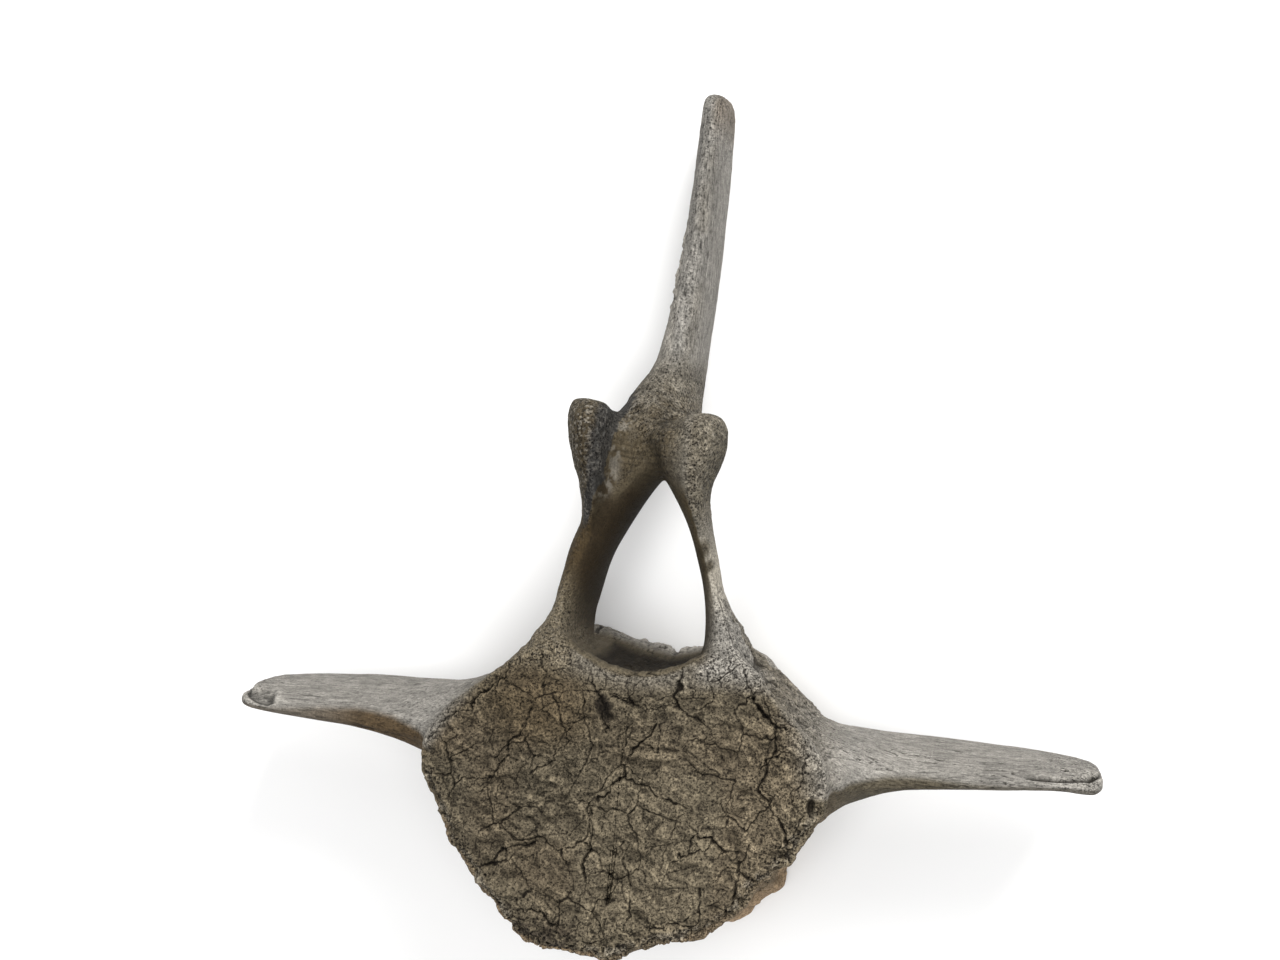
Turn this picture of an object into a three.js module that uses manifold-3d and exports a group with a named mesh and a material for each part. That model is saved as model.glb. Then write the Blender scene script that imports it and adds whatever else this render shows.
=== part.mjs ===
import * as THREE from 'three';
import { mergeVertices } from 'three/addons/utils/BufferGeometryUtils.js';
import Module from 'manifold-3d';

// A vertebra from the back of a large baleen whale, lying on the rear face of its body.
// Millimetres. X runs across the bone, Y from the belly side to the back side of the animal,
// and Z from the rear face, on the floor, up to the front face.

const wasm = await Module();
wasm.setup();

// Driving dimensions

const LENGTH = 185;          // body of the bone, from rear face to front face
const WAIST = 0.865;         // girth of the body at its narrowest, as a part of its rim
const MIDLINE = -5;          // X of the middle plane of the arch and spine
const CUT = 0.3;             // gap sawn between two named parts
const PLATE_FRONT = 17;      // thickness of the end plate at the front face
const PLATE_REAR = 14;       // thickness of the end plate at the rear face
const ARCH_FOOT = 112;       // Y where the pedicles leave the body
const ARCH_SPRING = 197;     // Y where the pedicles meet the roof of the arch
const SPINE_FOOT = 300;      // Y where the spine leaves the roof of the arch
const ROOT_LEFT = -152;      // X where the left transverse process leaves the body
const ROOT_RIGHT = 141;      // X where the right one does
const ROOT_LOW = 22;         // Z that the roots of the processes stay above
const KNOB_CUT_LEFT = -40;   // X where the left metapophysis is parted from the arch
const KNOB_CUT_RIGHT = 20;   // X where the right one is
const REACH = 900;           // larger than the whole bone
const WELD = 1e-4;           // points closer than this are one point
const POLE = 0.02;           // size of the last ring before the middle of a face, as a part of its rim

// Rims of the two faces, anticlockwise from the right, as X, Y from the middle of the body
const FRONT_RIM = [
  [136, 16], [130, 46], [101, 77], [72, 106], [41, 108], [24, 98], [-3, 91], [-27, 94], [-44, 104],
  [-66, 111], [-88, 94], [-113, 72], [-144, 43], [-150, 8], [-128, -34], [-100, -72], [-63, -105],
  [-9, -111], [33, -94], [60, -84], [83, -64], [95, -44], [113, -30], [127, -5],
];
const REAR_RIM = [
  [132, 12], [124, 48], [101, 69], [85, 81], [66, 98], [32, 101], [3, 92], [-30, 98], [-64, 104],
  [-98, 79], [-131, 48], [-143, 12], [-134, -30], [-112, -66], [-84, -98], [-40, -113], [0, -110],
  [38, -115], [72, -111], [89, -91], [103, -81], [103, -64], [115, -32],
];

// Profile of the body from the middle of the rear face to the middle of the front face:
// part of the rim's distance from the centre, and height above the floor
const BODY_PROFILE = [
  [0.55, 2.5], [0.74, 0], [0.965, 0], [1, 5], [0.995, 16], [0.95, 34], [0.9, 56],
  [WAIST, 92], [0.89, 128], [0.95, 155], [0.99, 168], [1, 176], [0.98, 182],
  [0.93, LENGTH], [0.6, LENGTH - 1],
];
const DISH_REAR = 4;         // depth of the rear face's hollow
const DISH_FRONT = 2;        // depth of the front face's hollow

// Limbs of the bone. Each station is X, Y, Z of its centre, half its breadth from rear to front,
// half its thickness, and the turn in degrees of its front edge towards the side axis.
const ARCH_LEFT = [
  [-68, 76, 118, 64, 23, -4], [-67, 98, 119, 60, 17, -6], [-60.5, 122, 122, 50, 8, -7],
  [-55, 148, 128, 43, 9, -7], [-49, 172, 130, 41, 11.5, -6], [-39, 197, 127, 44, 13, -3],
  [-25, 221, 123, 50, 12, 0], [-8, 244, 119, 54, 11, 0],
];
const ARCH_RIGHT = [
  [56, 76, 118, 64, 24, 4], [53, 98, 119, 60, 18, 6], [47.5, 122, 122, 50, 10.6, 7],
  [40.5, 147, 128, 43, 6.2, 7], [34, 171, 130, 41, 5.6, 6], [25.5, 197, 127, 44, 6.2, 3],
  [16, 220, 123, 50, 9, 0], [0, 244, 119, 54, 10, 0],
];
const FLANK_LEFT = [
  [-66, 142, 100, 40, 4, 0], [-73, 118, 100, 50, 6, 0], [-86, 98, 96, 52, 7, 0],
  [-98, 82, 94, 54, 8, 0], [-112, 67, 94, 54, 8, 0], [-130, 55, 94, 52, 9, 0],
  [-158, 46, 92, 46, 9, 0], [-185, 40, 92, 36, 6, 0],
];
const FLANK_RIGHT = [
  [31, 170, 106, 26, 1, 0], [39, 143, 102, 40, 2.5, 0], [51, 118, 98, 48, 4.2, 0],
  [68, 95.5, 95, 52, 6, 0], [90, 79, 94, 54, 7, 0], [109, 60, 94, 54, 8, 0], [138, 46.5, 93, 50, 8, 0],
  [178, 40, 92, 38, 6, 0],
];
const ROOT_LIMB_LEFT = [
  [-84, 34, 114, 67, 28, 0], [-116, 37, 112, 65, 25, -4], [-143, 37, 107, 60, 19, -8],
  [-170, 37, 99, 54, 15, -11], [-205, 37, 92, 50, 10, -11],
];
const ROOT_LIMB_RIGHT = [
  [80, 36, 114, 67, 28, 0], [108, 37, 112, 65, 25, 4], [134, 36, 107, 60, 18, 8],
  [160, 37.5, 99, 54, 14, 11], [195, 39, 92, 50, 8, 10],
];
const WEB_LEFT = [
  [-40, 198, 127, 42, 10, -3], [-36, 224, 122, 47, 12, 0], [-29, 250, 112, 50, 14, 0],
  [-18, 275, 97, 48, 12, 0],
];
const WEB_RIGHT = [
  [25, 198, 127, 42, 3.5, 3], [17, 224, 122, 47, 6, 0], [13, 250, 112, 50, 9, 0],
  [2, 277, 97, 48, 8, 0],
];
const SADDLE_LEFT = [
  [-50, 190, 132, 34, 7, 4], [-46, 212, 134, 38, 8, 4], [-43, 236, 132, 42, 10, 3],
  [-38, 256, 126, 44, 12, 0], [-31, 270, 118, 42, 10, 0],
];
const SADDLE_RIGHT = [
  [23.5, 202, 142, 30, 2.5, 0], [17, 222, 145, 42, 8, 0], [10, 240, 144, 47, 14, 0],
  [5, 256, 140, 47, 18, 0], [4, 270, 130, 43, 15, 0],
];
const SPINE = [
  [-6, 232, 123, 47, 18, 0], [-12.5, 250, 114, 51, 26, 0], [-14.5, 270, 103, 54, 25.5, 0],
  [-11.5, 287, 88, 54, 22, 0], [-8, 306, 73, 52, 16.8, 0], [-5.3, 335, 64, 50, 14, 0],
  [-3, 362, 61, 50, 12.8, 0], [-1, 400, 58, 49, 11.2, 0], [0, 460, 55, 49, 10, 0],
  [0, 497, 53, 48, 9.2, 0], [-0.5, 514, 52, 46, 8.8, 0],
];
const KNOB_LEFT = [
  [-50, 180, 140, 28, 6, 4], [-49.5, 205, 151, 35, 8, 8], [-50.5, 221, 156, 36, 9.5, 9],
  [-53.5, 238, 161, 36, 12, 9], [-56.5, 256, 164, 34, 14, 9], [-56.5, 279.5, 163, 31, 16, 9],
];
const KNOB_RIGHT = [
  [33, 176, 136, 22, 3, 4], [26.5, 203, 150, 32, 5.5, 2], [23, 219, 156, 34, 9, 0],
  [22, 234, 160, 35, 13, -4], [25, 255, 163, 34, 16, -6], [25, 277, 163, 29, 14, -6],
];
const PROCESS_LEFT = [
  [-70, 10, 92, 64, 46, 0], [-112, 20, 92, 62, 40, -6], [-146, 29.5, 92, 56, 22, -13],
  [-190, 36.2, 92, 51, 13.4, -12], [-240, 36, 91, 52, 10.2, -8], [-285, 34.6, 89, 54, 8.2, -4],
  [-307.5, 34, 88, 49, 7, -1],
];
const PROCESS_RIGHT = [
  [66, 8, 92, 64, 46, 0], [106, 19, 92, 62, 40, 6], [142, 32, 92, 56, 20.5, 13],
  [188, 39.2, 92, 51, 10.1, 11], [245, 42.2, 91, 52, 8.1, 7], [293, 44.2, 89, 54, 8.2, 3],
  [326, 42.3, 88, 51, 7.2, 1],
];

const BONE_GREY = 0x8f897d;
const BONE_BROWN = 0x5f5444;
const BONE_FACE = 0x6e6353;

// A closed solid from a skin: point(u, v) gives the ring round the limb at u for each v in rows,
// and a fan from the middle of the first and of the last ring closes the two ends.
function loft(point, around, rows) {
  const rings = rows.map((v) => Array.from({ length: around }, (_, i) => point(i / around, v)));
  const middle = (ring) => ring.reduce((sum, p) => sum.add(p), new THREE.Vector3()).divideScalar(around);
  const points = [...rings.flat(), middle(rings[0]), middle(rings.at(-1))];
  const [start, end] = [points.length - 2, points.length - 1];
  const last = (rings.length - 1) * around;
  const index = [];
  for (let i = 0; i < around; i++) {
    const j = (i + 1) % around;
    index.push(start, j, i, end, last + i, last + j);
    for (let row = 0; row < last; row += around) {
      index.push(row + i, row + j, row + j + around, row + i, row + j + around, row + i + around);
    }
  }
  const geometry = new THREE.BufferGeometry().setFromPoints(points);
  geometry.setIndex(index);
  return geometry;
}

// A manifold-3d solid from a closed geometry, turned the right way out.
function solid(geometry) {
  const bare = geometry.clone();
  bare.deleteAttribute('normal');
  bare.deleteAttribute('uv');
  const merged = mergeVertices(bare, WELD);
  const vertProperties = new Float32Array(merged.attributes.position.array);
  const triVerts = new Uint32Array(merged.index.array);
  const make = (tris) => new wasm.Manifold(new wasm.Mesh({ numProp: 3, vertProperties, triVerts: tris }));
  const made = make(triVerts);
  return made.volume() > 0 ? made : make(triVerts.reverse());
}

// The geometry of a manifold-3d solid.
function geometryOf(made) {
  const mesh = made.getMesh();
  const geometry = new THREE.BufferGeometry();
  geometry.setAttribute('position', new THREE.Float32BufferAttribute(mesh.vertProperties, 3));
  geometry.setIndex([...mesh.triVerts]);
  geometry.computeVertexNormals();
  return geometry;
}

// Catmull-Rom value at v, from 0 to 1, of one column of a list of stations.
function column(stations, k, v) {
  const s = Math.min(Math.max(v, 0), 1) * (stations.length - 1);
  const i = Math.min(Math.floor(s), stations.length - 2);
  const t = s - i;
  const at = (n) => stations[Math.min(Math.max(n, 0), stations.length - 1)][k];
  const [a, b, c, d] = [at(i - 1), at(i), at(i + 1), at(i + 2)];
  return b + 0.5 * t * (c - a + t * (2 * a - 5 * b + 4 * c - d + t * (3 * (b - c) + d - a)));
}

// Evenly spaced rows along a limb, closer together over the round end if it has one.
function rowsAlong(count, roundFrom) {
  const rows = Array.from({ length: count + 1 }, (_, i) => (i / count) * Math.min(roundFrom, 1));
  if (roundFrom >= 1) return rows;
  return rows.concat([0.45, 0.75, 0.92, 0.99].map((f) => roundFrom + f * (1 - roundFrom)));
}

// A limb: an oval carried along a smooth path through its stations. Its breadth lies along Z,
// turned towards the side of the path, and past roundFrom the oval shrinks to a round end.
// A wedge above 0 makes the front edge thicker than the rear edge.
function limb(stations, { around = 20, along = 12, roundFrom = 1, wedge = 0, power = 1 } = {}) {
  const place = (v) => new THREE.Vector3(...[0, 1, 2].map((k) => column(stations, k, v)));
  return loft((u, v) => {
    const path = place(v + 0.01).sub(place(v - 0.01)).setZ(0).normalize();
    const side = new THREE.Vector3(path.y, -path.x, 0);
    const turn = THREE.MathUtils.degToRad(column(stations, 5, v));
    const broad = side.clone().multiplyScalar(Math.sin(turn));
    broad.z = Math.cos(turn);
    const thin = side.multiplyScalar(Math.cos(turn));
    thin.z = -Math.sin(turn);
    const past = Math.max(0, (v - roundFrom) / (1 - roundFrom || 1));
    const shrink = Math.sqrt(1 - past ** 2);
    const [c, s] = [Math.cos(2 * Math.PI * u), Math.sin(2 * Math.PI * u)];
    const across = Math.sign(s) * Math.abs(s) ** power * (1 + wedge * c);
    return place(v)
      .addScaledVector(broad, column(stations, 3, v) * shrink * Math.sign(c) * Math.abs(c) ** power)
      .addScaledVector(thin, column(stations, 4, v) * Math.sqrt(shrink) * across);
  }, around, rowsAlong(along, roundFrom));
}

// The body: a profile carried round a rim that changes from the rear face to the front face.
function body(around = 60) {
  const curve = (rim) => new THREE.CatmullRomCurve3(
    rim.map(([x, y]) => new THREE.Vector3(x, y, 0)), true, 'centripetal',
  );
  const [rear, front] = [curve(REAR_RIM), curve(FRONT_RIM)];
  const rows = [[POLE, DISH_REAR], ...BODY_PROFILE, [POLE, LENGTH - DISH_FRONT]];
  return loft((u, row) => {
    const [scale, z] = rows[row];
    const rim = rear.getPointAt(u).lerp(front.getPointAt(u), z / LENGTH).multiplyScalar(scale);
    return rim.setZ(z);
  }, around, rows.map((_, i) => i));
}

// A block between two corners, for sawing a named part out of the whole bone.
function block(low, high) {
  const size = high.map((value, k) => value - low[k]);
  const geometry = new THREE.BoxGeometry(...size);
  geometry.translate(...low.map((value, k) => value + size[k] / 2));
  return solid(geometry);
}

const limbs = [
  limb(ARCH_LEFT, { wedge: 0.25 }),
  limb(ARCH_RIGHT, { wedge: 0.25 }),
  limb(FLANK_LEFT, { around: 16, along: 9 }),
  limb(FLANK_RIGHT, { around: 16, along: 9 }),
  limb(ROOT_LIMB_LEFT, { around: 16, along: 7 }),
  limb(ROOT_LIMB_RIGHT, { around: 16, along: 7 }),
  limb(WEB_LEFT, { around: 14, along: 6 }),
  limb(WEB_RIGHT, { around: 14, along: 6 }),
  limb(SADDLE_LEFT, { around: 14, along: 6, roundFrom: 0.85 }),
  limb(SADDLE_RIGHT, { around: 14, along: 6, roundFrom: 0.85, power: 0.8 }),
  limb(SPINE, { along: 14, roundFrom: 0.92, power: 0.8 }),
  limb(KNOB_LEFT, { along: 8, roundFrom: 0.86 }),
  limb(KNOB_RIGHT, { along: 8, roundFrom: 0.84 }),
  limb(PROCESS_LEFT, { along: 11, roundFrom: 0.94 }),
  limb(PROCESS_RIGHT, { along: 11, roundFrom: 0.955 }),
];
const bone = limbs.reduce((whole, part) => whole.add(solid(part)), solid(body()));

// The named parts: the two corners of the block that each is sawn out with, and its colour
const HALF = CUT / 2;
const BODY_TOP = ARCH_FOOT - HALF;
const FRONT_CUT = LENGTH - PLATE_FRONT;
const ROOF_TOP = SPINE_FOOT - HALF;
const parts = {
  epiphysis_front: [
    [-REACH, -REACH, FRONT_CUT + HALF],
    [REACH, BODY_TOP, REACH], BONE_FACE,
  ],
  centrum: [
    [ROOT_LEFT + HALF, -REACH, PLATE_REAR + HALF],
    [ROOT_RIGHT - HALF, BODY_TOP, FRONT_CUT - HALF], BONE_BROWN,
  ],
  epiphysis_rear: [
    [-REACH, -REACH, -REACH],
    [REACH, BODY_TOP, PLATE_REAR - HALF], BONE_BROWN,
  ],
  transverse_process_left: [
    [-REACH, -REACH, ROOT_LOW],
    [ROOT_LEFT - HALF, BODY_TOP, FRONT_CUT - HALF], BONE_GREY,
  ],
  transverse_process_right: [
    [ROOT_RIGHT + HALF, -REACH, ROOT_LOW],
    [REACH, BODY_TOP, FRONT_CUT - HALF], BONE_GREY,
  ],
  pedicle_left: [
    [-REACH, ARCH_FOOT + HALF, -REACH],
    [MIDLINE, ARCH_SPRING - HALF, REACH], BONE_BROWN,
  ],
  pedicle_right: [
    [MIDLINE, ARCH_FOOT + HALF, -REACH],
    [REACH, ARCH_SPRING - HALF, REACH], BONE_GREY,
  ],
  metapophysis_left: [
    [-REACH, ARCH_SPRING + HALF, -REACH],
    [KNOB_CUT_LEFT - HALF, ROOF_TOP, REACH], BONE_BROWN,
  ],
  metapophysis_right: [
    [KNOB_CUT_RIGHT + HALF, ARCH_SPRING + HALF, -REACH],
    [REACH, ROOF_TOP, REACH], BONE_BROWN,
  ],
  arch_roof: [
    [KNOB_CUT_LEFT + HALF, ARCH_SPRING + HALF, -REACH],
    [KNOB_CUT_RIGHT - HALF, ROOF_TOP, REACH], BONE_BROWN,
  ],
  neural_spine: [
    [-REACH, SPINE_FOOT + HALF, -REACH],
    [REACH, REACH, REACH], BONE_GREY,
  ],
};

const vertebra = new THREE.Group();
for (const [name, [low, high, color]] of Object.entries(parts)) {
  const material = new THREE.MeshStandardMaterial({ color, roughness: 0.9, metalness: 0 });
  const mesh = new THREE.Mesh(geometryOf(bone.intersect(block(low, high))), material);
  mesh.name = name;
  vertebra.add(mesh);
}

// The origin is on the floor, under the middle of the bone's box.
const box = new THREE.Box3().setFromObject(vertebra);
const centre = box.getCenter(new THREE.Vector3());
vertebra.position.set(-centre.x, -centre.y, -box.min.z);

export default vertebra;
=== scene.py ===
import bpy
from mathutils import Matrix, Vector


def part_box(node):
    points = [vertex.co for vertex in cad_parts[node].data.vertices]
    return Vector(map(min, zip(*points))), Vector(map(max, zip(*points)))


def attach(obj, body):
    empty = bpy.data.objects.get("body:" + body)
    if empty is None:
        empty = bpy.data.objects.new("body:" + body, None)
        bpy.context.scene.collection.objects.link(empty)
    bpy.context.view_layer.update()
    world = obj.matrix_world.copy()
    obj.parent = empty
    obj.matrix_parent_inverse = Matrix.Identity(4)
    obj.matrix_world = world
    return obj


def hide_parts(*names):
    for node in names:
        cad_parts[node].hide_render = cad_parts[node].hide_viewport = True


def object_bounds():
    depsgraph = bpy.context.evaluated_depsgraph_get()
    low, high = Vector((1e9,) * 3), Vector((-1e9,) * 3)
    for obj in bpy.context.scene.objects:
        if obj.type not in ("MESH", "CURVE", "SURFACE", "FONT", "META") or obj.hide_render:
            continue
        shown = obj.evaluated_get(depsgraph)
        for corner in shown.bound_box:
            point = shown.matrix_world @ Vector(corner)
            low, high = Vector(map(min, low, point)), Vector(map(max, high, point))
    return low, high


bl_info = {
    "name": "Whale Vertebra",
    "version": (1, 0, 0),
    "blender": (4, 5, 0),
    "location": "View3D > Sidebar > Vertebra",
    "description": "A weathered whale vertebra, carved as one skin and parted into its named pieces",
    "category": "Object",
}

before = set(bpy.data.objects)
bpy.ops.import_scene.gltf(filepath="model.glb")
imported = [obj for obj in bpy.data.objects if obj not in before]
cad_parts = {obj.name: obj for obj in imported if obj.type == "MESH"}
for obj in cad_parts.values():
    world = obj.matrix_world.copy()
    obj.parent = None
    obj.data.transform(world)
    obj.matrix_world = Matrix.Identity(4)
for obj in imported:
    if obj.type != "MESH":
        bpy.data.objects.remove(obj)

import math

import bpy
import numpy as np
from bpy.props import FloatProperty, FloatVectorProperty, IntProperty, PointerProperty
from mathutils import Matrix, Vector
from mathutils.geometry import tessellate_polygon

CAD_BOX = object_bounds()
MM = 0.001

# ---------------------------------------------------------------------------------------------
# Sizes of the bone, in millimetres: X across, Y from belly side to back side, Z up from the rear
# face, on the floor, to the front face. They are the same stations that the frame is built on.
# ---------------------------------------------------------------------------------------------

LENGTH = 185
WAIST = 0.865
FRONT_RIM = [
    (136, 16), (130, 46), (101, 77), (72, 106), (41, 108), (24, 98), (-3, 91), (-27, 94), (-44, 104),
    (-66, 111), (-88, 94), (-113, 72), (-144, 43), (-150, 8), (-128, -34), (-100, -72), (-63, -105),
    (-9, -111), (33, -94), (60, -84), (83, -64), (95, -44), (113, -30), (127, -5),
]
REAR_RIM = [
    (132, 12), (124, 48), (101, 69), (85, 81), (66, 98), (32, 101), (3, 92), (-30, 98), (-64, 104),
    (-98, 79), (-131, 48), (-143, 12), (-134, -30), (-112, -66), (-84, -98), (-40, -113),
    (0, -110), (38, -115), (72, -111), (89, -91), (103, -81), (103, -64), (115, -32),
]
# part of the rim's distance from the centre, and height, from the middle of the rear face up
BODY_PROFILE = [
    (0.0, 4), (0.55, 2.5), (0.74, 0), (0.965, 0), (1, 5), (0.995, 16), (0.95, 34), (0.9, 56),
    (WAIST, 92), (0.89, 128), (0.95, 155), (0.99, 168), (1, 176), (0.98, 182),
    (0.93, LENGTH), (0.6, LENGTH - 1), (0.0, LENGTH - 2),
]
# Limbs: X, Y, Z of the centre, half the breadth from rear to front, half the thickness,
# and the turn in degrees of the front edge towards the side
LIMBS = {
    "arch_left": ([
        (-68, 76, 118, 64, 23, -4), (-67, 98, 119, 60, 17, -6), (-60.5, 122, 122, 50, 8, -7),
        (-55, 148, 128, 43, 9, -7), (-49, 172, 130, 41, 11.5, -6), (-39, 197, 127, 44, 13, -3),
        (-25, 221, 123, 50, 12, 0), (-8, 244, 119, 54, 11, 0),
    ], dict(wedge=0.25)),
    "arch_right": ([
        (56, 76, 118, 64, 24, 4), (53, 98, 119, 60, 18, 6), (47.5, 122, 122, 50, 10.6, 7),
        (40.5, 147, 128, 43, 6.2, 7), (34, 171, 130, 41, 5.6, 6), (25.5, 197, 127, 44, 6.2, 3),
        (16, 220, 123, 50, 9, 0), (0, 244, 119, 54, 10, 0),
    ], dict(wedge=0.25)),
    "flank_left": ([
        (-66, 142, 100, 40, 4, 0), (-73, 118, 100, 50, 6, 0), (-86, 98, 96, 52, 7, 0),
        (-98, 82, 94, 54, 8, 0), (-112, 67, 94, 54, 8, 0), (-130, 55, 94, 52, 9, 0), (-158, 46, 92, 46, 9, 0),
        (-185, 40, 92, 36, 6, 0),
    ], dict()),
    "flank_right": ([
        (31, 170, 106, 26, 1, 0), (39, 143, 102, 40, 2.5, 0), (51, 118, 98, 48, 4.2, 0),
        (68, 95.5, 95, 52, 6, 0), (90, 79, 94, 54, 7, 0), (109, 60, 94, 54, 8, 0), (138, 46.5, 93, 50, 8, 0),
        (178, 40, 92, 38, 6, 0),
    ], dict()),
    "root_left": ([
        (-84, 34, 114, 67, 28, 0), (-116, 37, 112, 65, 25, -4), (-143, 37, 107, 60, 19, -8),
        (-170, 37, 99, 54, 15, -11), (-205, 37, 92, 50, 10, -11),
    ], dict()),
    "root_right": ([
        (80, 36, 114, 67, 28, 0), (108, 37, 112, 65, 25, 4), (134, 36, 107, 60, 18, 8),
        (160, 37.5, 99, 54, 14, 11), (195, 39, 92, 50, 8, 10),
    ], dict()),
    "web_left": ([
        (-40, 198, 127, 42, 10, -3), (-36, 224, 122, 47, 12, 0), (-29, 250, 112, 50, 14, 0),
        (-18, 275, 97, 48, 12, 0),
    ], dict()),
    "web_right": ([
        (25, 198, 127, 42, 3.5, 3), (17, 224, 122, 47, 6, 0), (13, 250, 112, 50, 9, 0),
        (2, 277, 97, 48, 8, 0),
    ], dict()),
    "saddle_left": ([
        (-50, 190, 132, 34, 7, 4), (-46, 212, 134, 38, 8, 4), (-43, 236, 132, 42, 10, 3),
        (-38, 256, 126, 44, 12, 0), (-31, 270, 118, 42, 10, 0),
    ], dict(round_from=0.85)),
    "saddle_right": ([
        (23.5, 202, 142, 30, 2.5, 0), (17, 222, 145, 42, 8, 0), (10, 240, 144, 47, 14, 0),
        (5, 256, 140, 47, 18, 0), (4, 270, 130, 43, 15, 0),
    ], dict(round_from=0.85, power=0.8)),
    "spine": ([
        (-6, 232, 123, 47, 18, 0), (-12.5, 250, 114, 51, 26, 0), (-14.5, 270, 103, 54, 25.5, 0),
        (-11.5, 287, 88, 54, 22, 0), (-8, 306, 73, 52, 16.8, 0), (-5.3, 335, 64, 50, 14, 0),
        (-3, 362, 61, 50, 12.8, 0), (-1, 400, 58, 49, 11.2, 0), (0, 460, 55, 49, 10, 0),
        (0, 497, 53, 48, 9.2, 0), (-0.5, 514, 52, 46, 8.8, 0),
    ], dict(round_from=0.92, power=0.8)),
    "knob_left": ([
        (-50, 180, 140, 28, 6, 4), (-49.5, 205, 151, 35, 8, 8), (-50.5, 221, 156, 36, 9.5, 9),
        (-53.5, 238, 161, 36, 12, 9), (-56.5, 256, 164, 34, 14, 9), (-56.5, 279.5, 163, 31, 16, 9),
    ], dict(round_from=0.86)),
    "knob_right": ([
        (33, 176, 136, 22, 3, 4), (26.5, 203, 150, 32, 5.5, 2), (23, 219, 156, 34, 9, 0),
        (22, 234, 160, 35, 13, -4), (25, 255, 163, 34, 16, -6), (25, 277, 163, 29, 14, -6),
    ], dict(round_from=0.84)),
    "process_left": ([
        (-70, 10, 92, 64, 46, 0), (-112, 20, 92, 62, 40, -6), (-146, 29.5, 92, 56, 22, -13),
        (-190, 36.2, 92, 51, 13.4, -12), (-240, 36, 91, 52, 10.2, -8), (-285, 34.6, 89, 54, 8.2, -4),
        (-307.5, 34, 88, 49, 7, -1),
    ], dict(round_from=0.94)),
    "process_right": ([
        (66, 8, 92, 64, 46, 0), (106, 19, 92, 62, 40, 6), (142, 32, 92, 56, 20.5, 13),
        (188, 39.2, 92, 51, 10.1, 11), (245, 42.2, 91, 52, 8.1, 7), (293, 44.2, 89, 54, 8.2, 3),
        (326, 42.3, 88, 51, 7.2, 1),
    ], dict(round_from=0.955)),
}

# Main cracks of the front face, as X, Y on the face: half width, depth, and the points they pass
FACE_CRACKS = {
    "midline": (0.46, 4.0, [(16, 59), (9, 48), (-3, 35), (-6, 26), (-5, 18), (-12, 10), (-13, 5),
                            (-28, -2), (-28, -9), (-23, -12), (-22, -32), (-28, -41), (-26, -60)]),
    "midline_branch": (0.43, 3.0, [(-5, 18), (4, 15), (15, 12), (23, 7), (33, 5), (43, 1)]),
    "under_lip": (0.43, 3.0, [(-18, 73), (-8, 71), (5, 68), (19, 71), (28, 72), (37, 66), (47, 61),
                              (56, 58)]),
    "lip_right": (0.56, 4.5, [(28, 101), (29, 87), (26, 79), (28, 72)]),
    "lip_left": (0.37, 2.5, [(-33, 101), (-33, 82), (-26, 73), (-20, 49)]),
    "lip_oval": (0.36, 2.0, [(-8, 89), (-9, 77), (-1, 68)]),
    "shoulder_right_start": (0.3, 1.5, [(66, 85), (73, 86), (80, 82)]),
    "shoulder_right": (0.95, 8.0, [(80, 82), (84, 77), (90, 72), (97, 64), (104, 66)]),
    "shoulder_right_low": (0.5, 3.5, [(97, 64), (98, 55), (97, 44), (93, 41), (91, 21), (105, 5),
                                      (116, -18)]),
    "shoulder_left": (0.62, 5.0, [(-92, 92), (-96, 78), (-113, 65), (-117, 52), (-131, 49), (-138, 40),
                                  (-148, 28)]),
    "upper_left": (0.46, 3.0, [(-74, 58), (-79, 42), (-88, 34), (-88, 24), (-94, 17), (-96, 8), (-103, -5)]),
    "plate_left": (0.36, 2.0, [(-31, 63), (-41, 54), (-49, 43), (-56, 34), (-54, 24), (-71, 14)]),
    "cross_left": (0.37, 2.0, [(-28, -2), (-40, -3), (-54, -4), (-61, -9), (-78, -12)]),
    "lower_left": (0.56, 3.5, [(-63, -23), (-61, -35), (-79, -40), (-89, -46), (-91, -52), (-103, -58)]),
    "toe_left": (0.5, 3.5, [(-73, -84), (-60, -82), (-51, -84), (-49, -89), (-36, -92)]),
    "lower_right": (0.56, 4.0, [(46, -12), (50, -16), (61, -18), (71, -22), (80, -22), (81, -35), (81, -49),
                                (79, -62)]),
    "plate_right": (0.36, 2.0, [(81, 4), (71, 0), (66, -10), (56, -9), (48, -15), (46, -29), (34, -37),
                                (32, -48)]),
    "toe_right": (0.43, 2.5, [(57, -52), (57, -67), (50, -74), (42, -79), (24, -85)]),
    "lower_middle": (0.37, 2.2, [(0, -27), (2, -41), (5, -53), (8, -63), (9, -75), (7, -90)]),
    "upper_right": (0.36, 1.8, [(49, 56), (50, 39), (55, 29), (68, 31), (83, 30)]),
}


# ---------------------------------------------------------------------------------------------
# Surfaces
# ---------------------------------------------------------------------------------------------

def column(stations, k, v):
    """Catmull-Rom curve through column k of the stations: the value at each v from 0 to 1."""
    values = np.array([s[k] for s in stations], float)
    s = np.clip(v, 0, 1) * (len(values) - 1)
    i = np.minimum(s.astype(int), len(values) - 2)
    t = s - i
    a, b, c, d = (values[np.clip(i + n, 0, len(values) - 1)] for n in (-1, 0, 1, 2))
    return b + 0.5 * t * (c - a + t * (2 * a - 5 * b + 4 * c - d + t * (3 * (b - c) + d - a)))


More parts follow.
